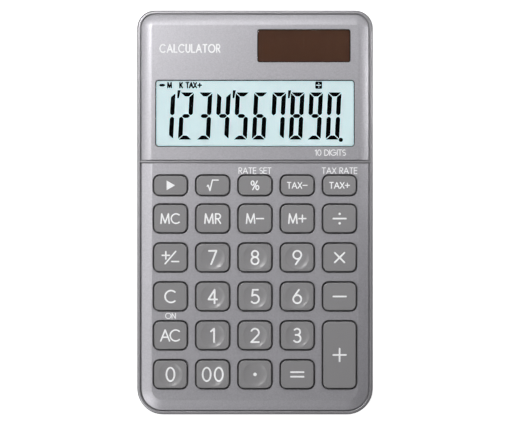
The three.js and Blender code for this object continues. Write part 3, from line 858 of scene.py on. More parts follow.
@dataclass
class Lettering:
    """A line of lettering in strokes of one width, printed on a surface."""

    glyphs: list[str]
    height: float
    stroke: float
    centre: tuple[float, float]
    spacing: float = 0.19
    thickness: float = 0.02 * MM
    reach: float = 0.4 * MM
    squeeze: float = 1.0
    layer: float = 0.0015 * MM
    end_facets: int = 6
    arc_step: float = 12.0

    def draw(self, bm: BMesh, surface: Surface) -> None:
        """Draws the line, with its thickness.

        Args:
            bm: the mesh it is drawn in.
            surface: gives the height of what it is printed on at a place.
        """
        advance = self.spacing * (len(self.glyphs) - 1) + sum(GLYPHS[g][0] for g in self.glyphs)
        scale = self.height - self.stroke
        x = self.centre[0] - advance * scale * self.squeeze / 2
        y = self.centre[1] - scale / 2
        for glyph in self.glyphs:
            width, strokes = GLYPHS[glyph]
            for layer, stroke in enumerate(strokes):
                flat = bmesh.new()
                self._stroke(flat, stroke, x, y, scale)
                bmesh.ops.remove_doubles(flat, verts=flat.verts, dist=MERGE)
                for vert in flat.verts:
                    vert.co.z = surface(vert.co.x, vert.co.y) - self.thickness / 2
                raised = moved(bmesh.ops.extrude_face_region(flat, geom=flat.faces[:])["geom"])
                lift = self.thickness + layer * self.layer
                bmesh.ops.translate(flat, verts=raised, vec=UP * lift)
                append(bm, flat)
            x += (width + self.spacing) * scale * self.squeeze

    def _stroke(self, bm: BMesh, stroke: Stroke, x: float, y: float, scale: float) -> None:
        """Draws one stroke flat.

        Args:
            bm: the mesh it is drawn in.
            stroke: the stroke, in shares of the height.
            x: where the glyph starts.
            y: where the line of lettering stands.
            scale: the height of the strokes' middle lines.
        """

        def place(across: float, up: float) -> Vector:
            """A point of the glyph, in the line of lettering."""
            return Vector((x + across * scale * self.squeeze, y + up * scale, 0))

        if isinstance(stroke, Bar):
            self._bar(bm, place(stroke.x0, stroke.y0), place(stroke.x1, stroke.y1))
        elif isinstance(stroke, Arc):
            self._arc(bm, place(stroke.x, stroke.y), stroke, scale)
        elif isinstance(stroke, Ring):
            across = stroke.across * scale * self.squeeze
            self._ring(bm, place(stroke.x, stroke.y), across, stroke.up * scale)
        else:
            turn = Matrix.Translation(place(stroke.x, stroke.y)) @ Matrix.Rotation(-math.pi / 2, 4, "Z")
            bmesh.ops.create_circle(
                bm, cap_ends=True, segments=stroke.sides, radius=stroke.radius * scale, matrix=turn
            )

    def _bar(self, bm: BMesh, start: Vector, end: Vector) -> None:
        """Draws a straight stroke with round ends, in lengths short enough to follow a surface.

        Args:
            bm: the mesh it is drawn in.
            start: one end of its middle line.
            end: the other end.
        """
        along = end - start
        side = UP.cross(along).normalized() * self.stroke / 2
        edge = bm.edges.new((bm.verts.new(start - side), bm.verts.new(start + side)))
        count = max(1, math.ceil(along.length / self.reach))
        for _ in range(count):
            made = bmesh.ops.extrude_edge_only(bm, edges=[edge])["geom"]
            bmesh.ops.translate(bm, verts=moved(made), vec=along / count)
            edge = next(part for part in made if isinstance(part, BMEdge))
        for point, outwards in ((start, -side), (end, side)):
            radius = [bm.verts.new(point), bm.verts.new(point + outwards)]
            geom = [*radius, bm.edges.new(radius)]
            bmesh.ops.spin(bm, geom=geom, cent=point, axis=UP, angle=-math.pi, steps=self.end_facets)

    def _arc(self, bm: BMesh, centre: Vector, arc: Arc, scale: float) -> None:
        """Draws a round stroke by turning a short edge about its centre.

        Args:
            bm: the mesh it is drawn in.
            centre: the arc's centre.
            arc: the arc.
            scale: the size that its radius is a share of.
        """
        start = math.radians(arc.start)
        ray = Vector((math.cos(start), math.sin(start), 0))
        radii = (arc.radius * scale + side * self.stroke / 2 for side in (-1, 1))
        ends = [bm.verts.new(centre + ray * radius) for radius in radii]
        edge = bm.edges.new(ends)
        bmesh.ops.spin(
            bm,
            geom=[*ends, edge],
            cent=centre,
            axis=UP,
            angle=math.radians(arc.sweep),
            steps=max(self.end_facets, math.ceil(abs(arc.sweep) / self.arc_step)),
        )
        bmesh.ops.scale(bm, verts=bm.verts, vec=(self.squeeze, 1, 1), space=Matrix.Translation(-centre))

    def _ring(self, bm: BMesh, centre: Vector, across: float, up: float) -> None:
        """Draws a closed oval stroke between two circles that are bridged.

        Args:
            bm: the mesh it is drawn in.
            centre: the oval's centre.
            across: half its width.
            up: half its height.
        """
        edges = []
        for side in (-1, 1):
            size = Matrix.Diagonal((across + side * self.stroke / 2, up + side * self.stroke / 2, 1, 1))
            verts = bmesh.ops.create_circle(
                bm, cap_ends=False, segments=36, radius=1, matrix=Matrix.Translation(centre) @ size
            )["verts"]
            edges += {edge for vert in verts for edge in vert.link_edges}
        bmesh.ops.bridge_loops(bm, edges=edges)


def append(bm: BMesh, other: BMesh) -> None:
    """Adds all of a mesh to another.

    Args:
        bm: the mesh that is added to.
        other: the mesh that is added, which is used up.
    """
    mesh = bpy.data.meshes.new("passing")
    other.to_mesh(mesh)
    other.free()
    bm.from_mesh(mesh)
    bpy.data.meshes.remove(mesh)


# ---------------------------------------------------------------- the case


@dataclass
class Casing:
    """Front case, rear cover, case screws and rubber feet."""

    upper_radius: float = 5.2 * MM
    lower_radius: float = 7.7 * MM
    wall: float = 1.2 * MM
    parting: float = 4.3 * MM
    parting_bevel: float = 0.06 * MM
    parting_gap: float = 0.05 * MM
    rim: float = 0.9 * MM
    rim_round: float = 0.5 * MM
    rim_top: float = 6.95 * MM
    rim_inner_edge: float = 0.12 * MM
    channel_width: float = 0.37 * MM
    channel_depth: float = 0.55 * MM
    deck_thickness: float = 0.8 * MM
    deck_top: float = 6.4 * MM
    key_hole_inset: float = 0.57 * MM
    solar_hole_inset: float = -0.15 * MM
    display_hole_inset: float = -0.3 * MM
    bar_width: float = 0.6 * MM
    bar_edge: float = 0.16 * MM
    bar_reach: float = 0.6
    boss_radii: tuple[float, float] = (0.75 * MM, 1.55 * MM)
    boss_foot: float = 2.65 * MM
    cell_gap: float = 0.15 * MM
    cell_wall: float = 1.05 * MM
    cell_wall_lift: float = 0.25 * MM
    contact_slot: float = 2.2 * MM
    lip: float = 0.7 * MM
    lip_thickness: float = 0.5 * MM
    lip_root: float = 0.5 * MM
    rear_edge: float = 1.5 * MM
    rear_floor: float = 1.0 * MM
    foot_edge: float = 0.25 * MM
    sole_groove: float = 0.08 * MM
    sole_rings: tuple[float, ...] = (0.0, 0.55, 0.6, 0.68, 0.73)
    foot_seat: float = 0.4 * MM
    foot_seat_gap: float = 0.05 * MM
    foot_seat_edge: float = 0.12 * MM
    well_radius: float = 1.6 * MM
    well_edge: float = 0.2 * MM
    well_depth: float = 1.3 * MM
    shaft_hole: float = 0.85 * MM
    cup_radius: float = 2.25 * MM
    cup_root: float = 0.9 * MM
    cup_top: float = 2.6 * MM
    rib: float = 0.9 * MM
    label_size: tuple[float, float] = (34 * MM, 22 * MM)
    label_corner: float = 2 * MM
    label_place: float = 14 * MM
    label_depth: float = 0.2 * MM
    screw_seat: float = 0.8 * MM
    screw_crown: float = 0.32 * MM
    shaft: float = 0.7 * MM
    shaft_core: float = 0.78
    turns: int = 7
    neck: float = 0.2 * MM
    tip: float = 0.4 * MM
    recess: tuple[float, float] = (1.15, 0.26)
    recess_depth: float = 0.9 * MM
    recess_turn: float = 0.4
    cut_reach: float = 9 * MM
    screws: list[str] = field(default_factory=lambda: nodes_named("case_screw"))
    feet: list[str] = field(default_factory=lambda: nodes_named("rubber_foot"))

    def outline(self, inset: float) -> Outline:
        """The outline of the case, moved in from its widest line."""
        return Outline.of("front_case", self.upper_radius, 14, self.lower_radius).grown(-inset)

    def build(self) -> None:
        """Makes every piece of the case."""
        self.front_case()
        self.rear_cover()
        for name in self.screws:
            self.screw(name)
        for name in self.feet:
            self.foot(name)

    def front_case(self) -> None:
        """The side wall with its rolled rim, the deck, and the bar between the two fascias."""
        bevel, edge, gap = self.parting_bevel, self.rim_inner_edge, self.parting_gap
        bm = bmesh.new()
        shell = Slab(bm, self.outline(bevel).face(bm, self.parting))
        shell.step(-bevel, bevel)
        shell.rise(self.rim_top - self.rim_round - self.parting - bevel)
        shell.roll(self.rim_round, self.rim_round, 7)
        shell.step(self.rim - self.rim_round - edge, 0)
        shell.roll(edge, -edge, 2)
        shell.rise(self.deck_top - self.rim_top + edge - self.channel_depth)
        shell.step(self.channel_width, 0)
        shell.rise(self.channel_depth)
        hollow = bmesh.new()
        self.outline(self.wall).prism(hollow, 0, self.deck_top - self.deck_thickness)
        seat = bmesh.new()
        self.outline(self.wall - self.lip_thickness - gap).prism(seat, 0, self.parting + self.lip + gap)
        holes = bmesh.new()
        for name in Keypad.names():
            self._hole(holes, name, self.key_hole_inset)
        self._hole(holes, "solar_cell", self.solar_hole_inset)
        self._hole(holes, "lcd_polarizer", self.display_hole_inset)
        case = carve(bm, hollow, seat, holes)
        self._add_bar(case)
        self._add_inner_walls(case)
        piece("case_front", case, Finishes.CASE, replaces=("front_case",))

    def _hole(self, cutters: BMesh, node: str, inset: float) -> None:
        """Adds a cutter through the deck, round what comes up through it.

        Args:
            cutters: the mesh it is added to.
            node: what comes up through the deck.
            inset: how much smaller than its box the hole is on each side.
        """
        low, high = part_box(node)
        margin = Vector((inset, inset, 0))
        low, high = low + margin, high - margin
        low.z, high.z = self.deck_top - 2 * MM, self.deck_top + 2 * MM
        box_between(cutters, low, high)

    def _add_bar(self, bm: BMesh) -> None:
        """Adds the narrow bar between the display panel and the keypad panel.

        Args:
            bm: the front case.
        """
        y = (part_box("display_panel")[0].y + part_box("keypad_panel")[1].y) / 2
        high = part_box("front_case")[1]
        half = Vector((high.x - self.rim * self.bar_reach, self.bar_width / 2, 0))
        middle = Vector((0, y, 0))
        top = middle + half + UP * high.z
        verts = box_between(bm, middle - half + UP * (self.deck_top - 0.1 * MM), top)
        upper = [edge for edge in edges_of(verts) if all(vert.co.z > top.z - TINY for vert in edge.verts)]
        ease(bm, upper, self.bar_edge, 3)

    def _add_inner_walls(self, bm: BMesh) -> None:
        """Adds the bosses that the screws go up into, and the well round the button cell.

        Args:
            bm: the front case.
        """
        ceiling = self.deck_top - self.deck_thickness + self.parting_gap
        for name in self.screws:
            tube(bm, self.boss_radii, (self.boss_foot, ceiling), middle_of(name), 24)
        radius = radius_of("coin_cell") + self.cell_gap
        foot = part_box("coin_cell")[0].z + self.cell_wall_lift
        ring = bmesh.new()
        tube(ring, (radius, radius + self.cell_wall), (foot, ceiling), middle_of("coin_cell"), 64)
        slot = bmesh.new()
        centre = Vector((*middle_of("coin_cell"), 0))
        low = centre - Vector((self.contact_slot, self.cut_reach, 0))
        box_between(slot, low, centre + Vector((self.contact_slot, 0, self.cut_reach)))
        append(bm, carve(ring, slot))

    def rear_cover(self) -> None:
        """The shallow tray with its lip, screw wells, foot seats and ribs."""
        low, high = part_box("rear_cover")
        bevel, parting = self.parting_bevel, self.parting - self.parting_gap
        bm = bmesh.new()
        tray = Slab(bm, self.outline(bevel).face(bm, parting))
        tray.step(-bevel, -bevel)
        tray.rise(low.z + self.rear_edge - parting + bevel)
        tray.roll(self.rear_edge, -self.rear_edge, 9)
        lip = self.outline(self.wall - self.lip_thickness)
        lip.prism(bm, parting - self.lip_root, high.z - parting + self.lip_root)
        hollow = bmesh.new()
        self.outline(self.wall).prism(hollow, low.z + self.rear_floor, high.z)
        cutters = bmesh.new()
        for name in self.feet:
            turned(cutters, self._foot_seat(radius_of(name), low.z), middle_of(name), 40)
        for name in self.screws:
            turned(cutters, self._screw_well(low.z), middle_of(name), 32)
        self._label_recess(cutters, low.z)
        cover = carve(bm, hollow, cutters)
        cups = bmesh.new()
        wells = bmesh.new()
        for name in self.screws:
            place = middle_of(name)
            tube(cups, (self.shaft_hole, self.cup_radius), (low.z + self.cup_root, self.cup_top), place)
            tube(wells, (0, self.well_radius), (0, low.z + self.well_depth), place)
        append(cover, carve(cups, wells))
        self._ribs(cover, low.z)
        piece("case_rear", cover, Finishes.REAR, replaces=("rear_cover",))

    def _foot_seat(self, foot: float, face: float) -> list[tuple[float, float]]:
        """The section of the cutter for a rubber foot's seat.

        Args:
            foot: the foot's radius.
            face: the height of the rear face.

        Returns:
            The section, as radius and height.
        """
        radius = foot + self.foot_seat_gap
        edge, deep = self.foot_seat_edge, face + self.foot_seat
        mouth = [(0, -MM), (radius + edge, -MM), (radius + edge, face)]
        return [*mouth, (radius, face + edge), (radius, deep), (0, deep)]

    def _screw_well(self, face: float) -> list[tuple[float, float]]:
        """The section of the cutter for a screw's well and the hole for its shaft.

        Args:
            face: the height of the rear face.

        Returns:
            The section, as radius and height.
        """
        radius, edge, hole = self.well_radius, self.well_edge, self.shaft_hole
        deep, through = face + self.well_depth, 4 * MM
        mouth = [(0, -MM), (radius + edge, -MM), (radius + edge, face), (radius, face + edge)]
        return [*mouth, (radius, deep), (hole, deep), (hole, through), (0, through)]

    def _label_recess(self, cutters: BMesh, face: float) -> None:
        """Adds the cutter of the shallow recess in the middle of the rear face.

        Args:
            cutters: the mesh it is added to.
            face: the height of the rear face.
        """
        plate = Outline(*self.label_size, self.label_corner, (0, self.label_place), segments=6)
        depth = self.label_depth / 2
        Slab(cutters, plate.face(cutters, face - MM)).rise(MM).step(depth, depth).rise(depth)

    def _ribs(self, bm: BMesh, face: float) -> None:
        """Adds the ribs that the circuit board rests on.

        Args:
            bm: the rear cover.
            face: the height of the rear face.
        """
        left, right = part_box("circuit_board")
        rows = [middle_of(name)[1] for name in ("key_memory_clear", "key_clear", "key_all_clear")]
        pitch = rows[1] - rows[2]
        for row in rows:
            y = row - pitch / 2
            low = Vector((left.x, y - self.rib / 2, face + self.rear_floor - 0.1 * MM))
            box_between(bm, low, Vector((right.x, y + self.rib / 2, left.z - self.parting_gap)))

    def screw(self, name: str) -> None:
        """A pan-head screw, seen from below, with a cross recess and a threaded shaft.

        Args:
            name: the screw's node.
        """
        low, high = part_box(name)
        centre = middle_of(name)
        head = radius_of(name)
        seat = low.z + self.screw_seat
        core = self.shaft * self.shaft_core
        bm = bmesh.new()
        profile = [(head * math.sin(a), low.z + self.screw_crown * (1 - math.cos(a))) for a in quarter(6)]
        profile += [(head, seat), (core, seat)]
        pitch = (high.z - seat - self.neck - self.tip) / self.turns
        for i in range(self.turns):
            z = seat + self.neck + i * pitch
            profile += [(core, z), (self.shaft, z + pitch / 2)]
        profile += [(core, high.z - self.tip), (0, high.z)]
        turned(bm, profile, centre, 24)
        cross = bmesh.new()
        long, wide = (head * share for share in self.recess)
        size = Matrix.Diagonal((long, wide, self.recess_depth, 1))
        for turn in (0, math.pi / 2):
            spin = Matrix.Rotation(turn + self.recess_turn, 4, "Z")
            place = Matrix.Translation((*centre, low.z)) @ spin @ size
            bmesh.ops.create_cube(cross, size=1, matrix=place)
        piece(f"{name}_steel", carve(bm, cross), Finishes.SCREW, replaces=(name,))

    def foot(self, name: str) -> None:
        """A rubber foot with a rounded lower edge and a shallow ring in its sole.

        Args:
            name: the foot's node.
        """
        low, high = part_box(name)
        radius = radius_of(name)
        sole = zip(self.sole_rings, (0.0, 0.0, self.sole_groove, self.sole_groove, 0.0))
        profile = [(radius * share, low.z + lift) for share, lift in sole]
        profile += rounded_foot(radius, low.z, self.foot_edge, 5)
        bm = bmesh.new()
        turned(bm, [*profile, (radius, high.z), (0, high.z)], middle_of(name), 48)
        piece(f"{name}_pad", bm, Finishes.RUBBER, replaces=(name,))


def quarter(steps: int) -> list[float]:
    """Angles from 0 to a quarter turn."""
    return [i / steps * math.pi / 2 for i in range(steps + 1)]


def rounded_foot(radius: float, low: float, edge: float, steps: int) -> list[tuple[float, float]]:
    """The section of a round thing's lower edge.

    Args:
        radius: its outer radius.
        low: the height of its lower face.
        edge: the radius of the edge.
        steps: the number of facets in the edge.

    Returns:
        The section, as radius and height, from the middle outwards.
    """
    inner = radius - edge
    return [(inner + edge * math.sin(a), low + edge * (1 - math.cos(a))) for a in quarter(steps)]


def nodes_named(start: str) -> list[str]:
    """The nodes whose names start with a word, in order."""
    return sorted(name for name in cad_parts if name.startswith(start))


# ---------------------------------------------------------------- the fascias


@dataclass
class Fascias:
    """The two lacquered panels, their openings and what is printed on them."""

    casing: Casing
    groove: float = 0.37 * MM
    face: float = 7.4 * MM
    back: float = 6.45 * MM
    drop: float = 0.7 * MM
    slope: float = 3.2 * MM
    facets: int = 14
    upper_curve: float = 1.55
    lower_curve: float = 1.2
    lower_edge: float = 0.12 * MM
    upper_cut_edge: float = 0.28 * MM
    lower_cut_edge: float = 0.12 * MM
    hole_radius: float = 2.12 * MM
    hole_gap: float = 0.47 * MM
    soft_edge: float = 0.09 * MM
    soft_steps: int = 4
    seat_margin: float = 0.9 * MM
    seat_depth: float = 0.52 * MM
    thin: float = 0.24 * MM
    small: float = 1.95 * MM
    small_gap: float = 1.12 * MM

    def build(self) -> None:
        """Makes both panels and their printing."""
        self.display_panel()
        self.keypad_panel()
        self.printing()

    def _blank(self, curve: float) -> BMesh:
        """The crown that both panels are cut from.

        Args:
            curve: 1 is a straight slope with a sharp crease, and more is softer.

        Returns:
            The solid.
        """
        bm = bmesh.new()
        inset = self.casing.rim + self.groove
        blank = Slab(bm, self.casing.outline(inset).face(bm, self.back))
        edge = self.lower_edge
        blank.rise(self.face - self.drop - edge - self.back)
        blank.roll(edge, edge, 3)
        heights = [(1 - (1 - i / self.facets) ** curve) * self.drop for i in range(self.facets + 1)]
        for before, after in zip(heights, heights[1:]):
            blank.step((self.slope - edge) / self.facets, after - before)
        return bm

    def _trim(self, bm: BMesh, y: float, keep_above: bool, edge: float) -> None:
        """Cuts the blank straight across and eases the top edge of the cut.

        Args:
            bm: the blank.
            y: where it is cut.
            keep_above: True where the part towards the display end stays.
            edge: the size of the eased edge.
        """
        geom = bm.verts[:] + bm.edges[:] + bm.faces[:]
        outwards = Vector((0, -1 if keep_above else 1, 0))
        made = bmesh.ops.bisect_plane(
            bm, geom=geom, plane_co=(0, y, 0), plane_no=outwards, clear_outer=True, dist=1e-8
        )
        cut = [part for part in made["geom_cut"] if isinstance(part, BMEdge)]
        bmesh.ops.edgeloop_fill(bm, edges=cut)
        top = [e for e in cut if e.is_valid and all(v.co.z > self.face - TINY for v in e.verts)]
        ease(bm, top, edge, 3)

    def _opening(self, cutters: BMesh, outline: Outline) -> None:
        """Adds the cutter of an opening whose upper edge is softly rounded.

        Args:
            cutters: the mesh it is added to.
            outline: the opening.
        """
        edge = self.soft_edge
        hole = Slab(cutters, outline.grown(edge).face(cutters, self.face + MM))
        hole.rise(-MM)
        angles = quarter(self.soft_steps)
        for before, after in zip(angles, angles[1:]):
            inwards = edge * (math.sin(after) - math.sin(before))
            downwards = edge * (math.cos(before) - math.cos(after))
            hole.step(inwards, -downwards)
        hole.rise(self.back - self.face - MM)

    def display_panel(self) -> None:
        """The upper panel with its two windows, each with a wider seat behind it."""
        bm = self._blank(self.upper_curve)
        self._trim(bm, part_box("display_panel")[0].y, True, self.upper_cut_edge)
        openings = bmesh.new()
        seats = bmesh.new()
        for node in WINDOW_RADII:
            outline = window_outline(node)
            self._opening(openings, outline)
            outline.grown(self.seat_margin).prism(seats, self.back - MM, MM + self.seat_depth)
        panel = carve(bm, openings, seats)
        piece("panel_display", panel, Finishes.FASCIA, replaces=("display_panel",))

    def keypad_panel(self) -> None:
        """The lower panel with a hole for each key."""
        bm = self._blank(self.lower_curve)
        self._trim(bm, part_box("keypad_panel")[1].y, False, self.lower_cut_edge)
        cutters = bmesh.new()
        for name in Keypad.names():
            width, length = Keypad.cap_size(name)
            gap = 2 * self.hole_gap
            self._opening(cutters, Outline(width + gap, length + gap, self.hole_radius, middle_of(name)))
        panel = carve(bm, cutters)
        piece("panel_keypad", panel, Finishes.FASCIA, replaces=("keypad_panel",))

    def printing(self) -> None:
        """The small white lettering on both panels."""
        bm = bmesh.new()
        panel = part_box("display_panel")[0]
        window = window_outline("display_window")
        right = window.centre[0] + window.width / 2
        title = (panel.x + 14.4 * MM, middle_of("solar_window")[1] - 0.8 * MM)
        note = (right - 7.3 * MM, panel.y + 2.15 * MM)
        small, gap = self.small, self.small_gap
        for line in (
            Lettering(list("RATE SET"), small, self.thin, self._above("key_percent", gap)),
            Lettering(list("TAX RATE"), small, self.thin, self._above("key_tax_plus", gap)),
            Lettering(list("ON"), 1.85 * MM, self.thin, self._above("key_all_clear", 1.28 * MM)),
            Lettering(list("CALCULATOR"), 2.7 * MM, 0.42 * MM, title, 0.3, squeeze=0.8),
            Lettering(list("10 DIGITS"), 1.9 * MM, 0.25 * MM, note),
        ):
            line.draw(bm, lambda x, y: self.face)
        piece("panel_printing", bm, Finishes.LEGEND)

    def _above(self, node: str, gap: float) -> tuple[float, float]:
        """The place of a line of lettering above a key's hole."""
        x, y = middle_of(node)
        return x, y + Keypad.cap_size(node)[1] / 2 + Keypad.gap + gap


WINDOW_RADII = {"display_window": 1.0 * MM, "solar_window": 0.7 * MM}
WINDOW_FLANGE = 0.8 * MM


def window_outline(node: str) -> Outline:
    """The opening in front of a clear pane, from the pane's box, which includes its flange."""
    return Outline.of(node, WINDOW_RADII[node] + WINDOW_FLANGE, 6).grown(-WINDOW_FLANGE)


# ---------------------------------------------------------------- the keys


class KeyTop(Enum):
    """The shape of a key's top."""

    FLAT = "flat"
    DISHED = "dished"


@dataclass(frozen=True)
class Legend:
    """What a key says: its signs, their height and their stroke."""

    signs: tuple[str, ...]
    height: float
    stroke: float = 0.5 * MM
    spacing: float = 0.19
    top: KeyTop = KeyTop.FLAT


def figure(signs: str) -> Legend:
    """The legend of a figure key."""
    return Legend(tuple(signs), 4.5 * MM, 0.52 * MM, spacing=0.3, top=KeyTop.DISHED)


SIGN_HEIGHT = 4.25 * MM
HAIRLINE = 0.02 * MM
TAX_HEIGHT = 2.05 * MM
TAX_STROKE = 0.3 * MM
MEMORY_HEIGHT = 3.25 * MM
MEMORY_STROKE = 0.42 * MM

LEGENDS: dict[str, Legend] = {
    "key_backspace": Legend(("back",), 2.9 * MM, HAIRLINE),
    "key_square_root": Legend(("root",), 3.5 * MM, 0.36 * MM),
    "key_percent": Legend(("%",), 2.95 * MM, 0.36 * MM),
    "key_tax_minus": Legend(tuple("TAX-"), TAX_HEIGHT, TAX_STROKE, 0.2),
    "key_tax_plus": Legend(tuple("TAX+"), TAX_HEIGHT, TAX_STROKE, 0.2),
    "key_memory_clear": Legend(tuple("MC"), MEMORY_HEIGHT, MEMORY_STROKE, 0.22),
    "key_memory_recall": Legend(tuple("MR"), MEMORY_HEIGHT, MEMORY_STROKE, 0.26),
    "key_memory_minus": Legend(tuple("M-"), MEMORY_HEIGHT, MEMORY_STROKE, 0.2),
    "key_memory_plus": Legend(tuple("M+"), MEMORY_HEIGHT, MEMORY_STROKE, 0.2),
    "key_divide": Legend(("divide",), SIGN_HEIGHT),
    "key_sign_change": Legend(("sign",), 4.1 * MM, 0.44 * MM),
    "key_multiply": Legend(("times",), 4.2 * MM),
    "key_clear": Legend(("C",), 4.0 * MM, 0.48 * MM),
    "key_minus": Legend(("minus",), SIGN_HEIGHT),
    "key_all_clear": Legend(tuple("AC"), 3.7 * MM, 0.44 * MM, 0.06),
    "key_plus": Legend(("plus",), SIGN_HEIGHT),
    "key_equals": Legend(("equals",), SIGN_HEIGHT),
    "key_00": figure("00"),
    "key_point": Legend(("point",), SIGN_HEIGHT, HAIRLINE, top=KeyTop.DISHED),
    **{f"key_{digit}": figure(digit) for digit in "0123456789"},
}


@dataclass
class Keypad:
    """The keys: cap, dish, legend, flange and stem of each."""

    gap: ClassVar[float] = 0.43 * MM
    catch: ClassVar[float] = 1.15 * MM
    corner: float = 1.65 * MM
    edge: float = 0.24 * MM
    flange: float = 0.6 * MM
    stem: float = 3.4 * MM
    stem_length: float = 0.3 * MM
    stem_lift: float = 0.15 * MM
    dish_margin: float = 0.5 * MM
    dish_depth: float = 0.45 * MM
    dish_power: float = 2.8
    dish_lip: float = 0.12 * MM
    dish_rings: int = 14
    dish_facets: int = 48

    @staticmethod
    def names() -> list[str]:
        """The names of the keys."""
        return [name for name in nodes_named("key_") if name in LEGENDS]

    @classmethod
    def cap_size(cls, name: str) -> tuple[float, float]:
        """The width and length of a key's cap, inside the flange that its box includes."""
        low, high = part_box(name)
        return high.x - low.x - 2 * cls.catch, high.y - low.y - 2 * cls.catch

    def build(self) -> None:
        """Makes every key."""
        for name in self.names():
            self.key(name)
            self.legend(name)

    def dish_radius(self, name: str) -> float:
        """The radius of the dish in a key's top."""
        return min(self.cap_size(name)) / 2 - self.dish_margin

    def depth(self, name: str, x: float, y: float) -> float:
        """How far below its flat top a key's surface is.

        Args:
            name: the key's name.
            x: the place, across.
            y: the place, along.

        Returns:
            The depth.
        """
        if LEGENDS[name].top is KeyTop.FLAT:
            return 0.0
        cx, cy = middle_of(name)
        share = math.hypot(x - cx, y - cy) / self.dish_radius(name)
        return 0.0 if share >= 1 else self.dish_depth * (1 - share**self.dish_power)

    def key(self, name: str) -> None:
        """One key, as a cap with a softly rounded top edge on a flange with its stem.

        Args:
            name: the key's name.
        """
        low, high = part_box(name)
        width, length = self.cap_size(name)
        flange_low = low.z + self.stem_lift
        start = flange_low + self.flange / 2
        bm = bmesh.new()
        cap = Outline(width, length, self.corner, middle_of(name), segments=7)
        body = Slab(bm, cap.face(bm, start))
        body.rise(high.z - self.edge - start)
        body.roll(self.edge, self.edge, 5)
        if LEGENDS[name].top is KeyTop.DISHED:
            self._dish(bm, body.top, name, high.z)
        box_between(bm, low.xy.to_3d() + UP * flange_low, high.xy.to_3d() + UP * (flange_low + self.flange))
        x, y = middle_of(name)
        reach = (length - self.cap_size("key_minus")[1]) / 2
        half = Vector((self.stem / 2, self.stem / 2, 0))
        for offset in {reach, -reach}:
            foot = Vector((x, y + offset, low.z))
            box_between(bm, foot - half, foot + half + UP * self.stem_length)
        piece(f"{name}_cap", bm, Finishes.KEY, body=name, replaces=(name,))

    def _dish(self, bm: BMesh, top: BMFace, name: str, height: float) -> None:
        """Opens the flat top and joins it to a round bowl.

        Args:
            bm: the key's mesh.
            top: its flat top.
            name: the key's name.
            height: the height of the top.
        """
        radius = self.dish_radius(name)
        shares = [i / self.dish_rings for i in range(self.dish_rings)]
        rim = [1 - self.dish_lip / radius / 2]
        profile = [(s * radius, height - self.dish_depth * (1 - s**self.dish_power)) for s in shares + rim]
        profile.append((radius + self.dish_lip, height))
        centre = Vector((*middle_of(name), 0))
        outer = list(top.edges)
        bmesh.ops.delete(bm, geom=[top], context="FACES_ONLY")
        before = set(bm.verts)
        points = [bm.verts.new(centre + Vector((r, 0, z))) for r, z in profile]
        edges = [bm.edges.new(pair) for pair in zip(points, points[1:])]
        bmesh.ops.spin(
            bm,
            geom=points + edges,
            cent=centre,
            axis=UP,
            angle=2 * math.pi,
            steps=self.dish_facets,
            use_merge=True,
        )
        bowl = [v for v in bm.verts if v not in before]
        bmesh.ops.remove_doubles(bm, verts=bowl, dist=MERGE)
        radius = profile[-1][0]
        rim_verts = {v for v in bm.verts if abs((v.co - centre).xy.length - radius) < TINY}
        brim = [e for e in bm.edges if e.is_boundary and rim_verts.issuperset(e.verts)]
        bmesh.ops.bridge_loops(bm, edges=[e for e in outer if e.is_valid] + brim)

    def legend(self, name: str) -> None:
        """The white printing on a key, which follows its dish.

        Args:
            name: the key's name.
        """
        legend = LEGENDS[name]
        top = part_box(name)[1].z
        bm = bmesh.new()
        line = Lettering(list(legend.signs), legend.height, legend.stroke, middle_of(name), legend.spacing)
        line.draw(bm, lambda x, y: top - self.depth(name, x, y))
        piece(f"{name}_legend", bm, Finishes.LEGEND, body=name)


# ---------------------------------------------------------------- the display


SEGMENTS: dict[str, str] = {
    "0": "abcdef",
    "1": "bc",
    "2": "abdeg",
    "3": "abcdg",
    "4": "bcfg",
    "5": "acdfg",
    "6": "acdefg",
    "7": "abcf",
    "8": "abcdefg",
    "9": "abcdfg",
}


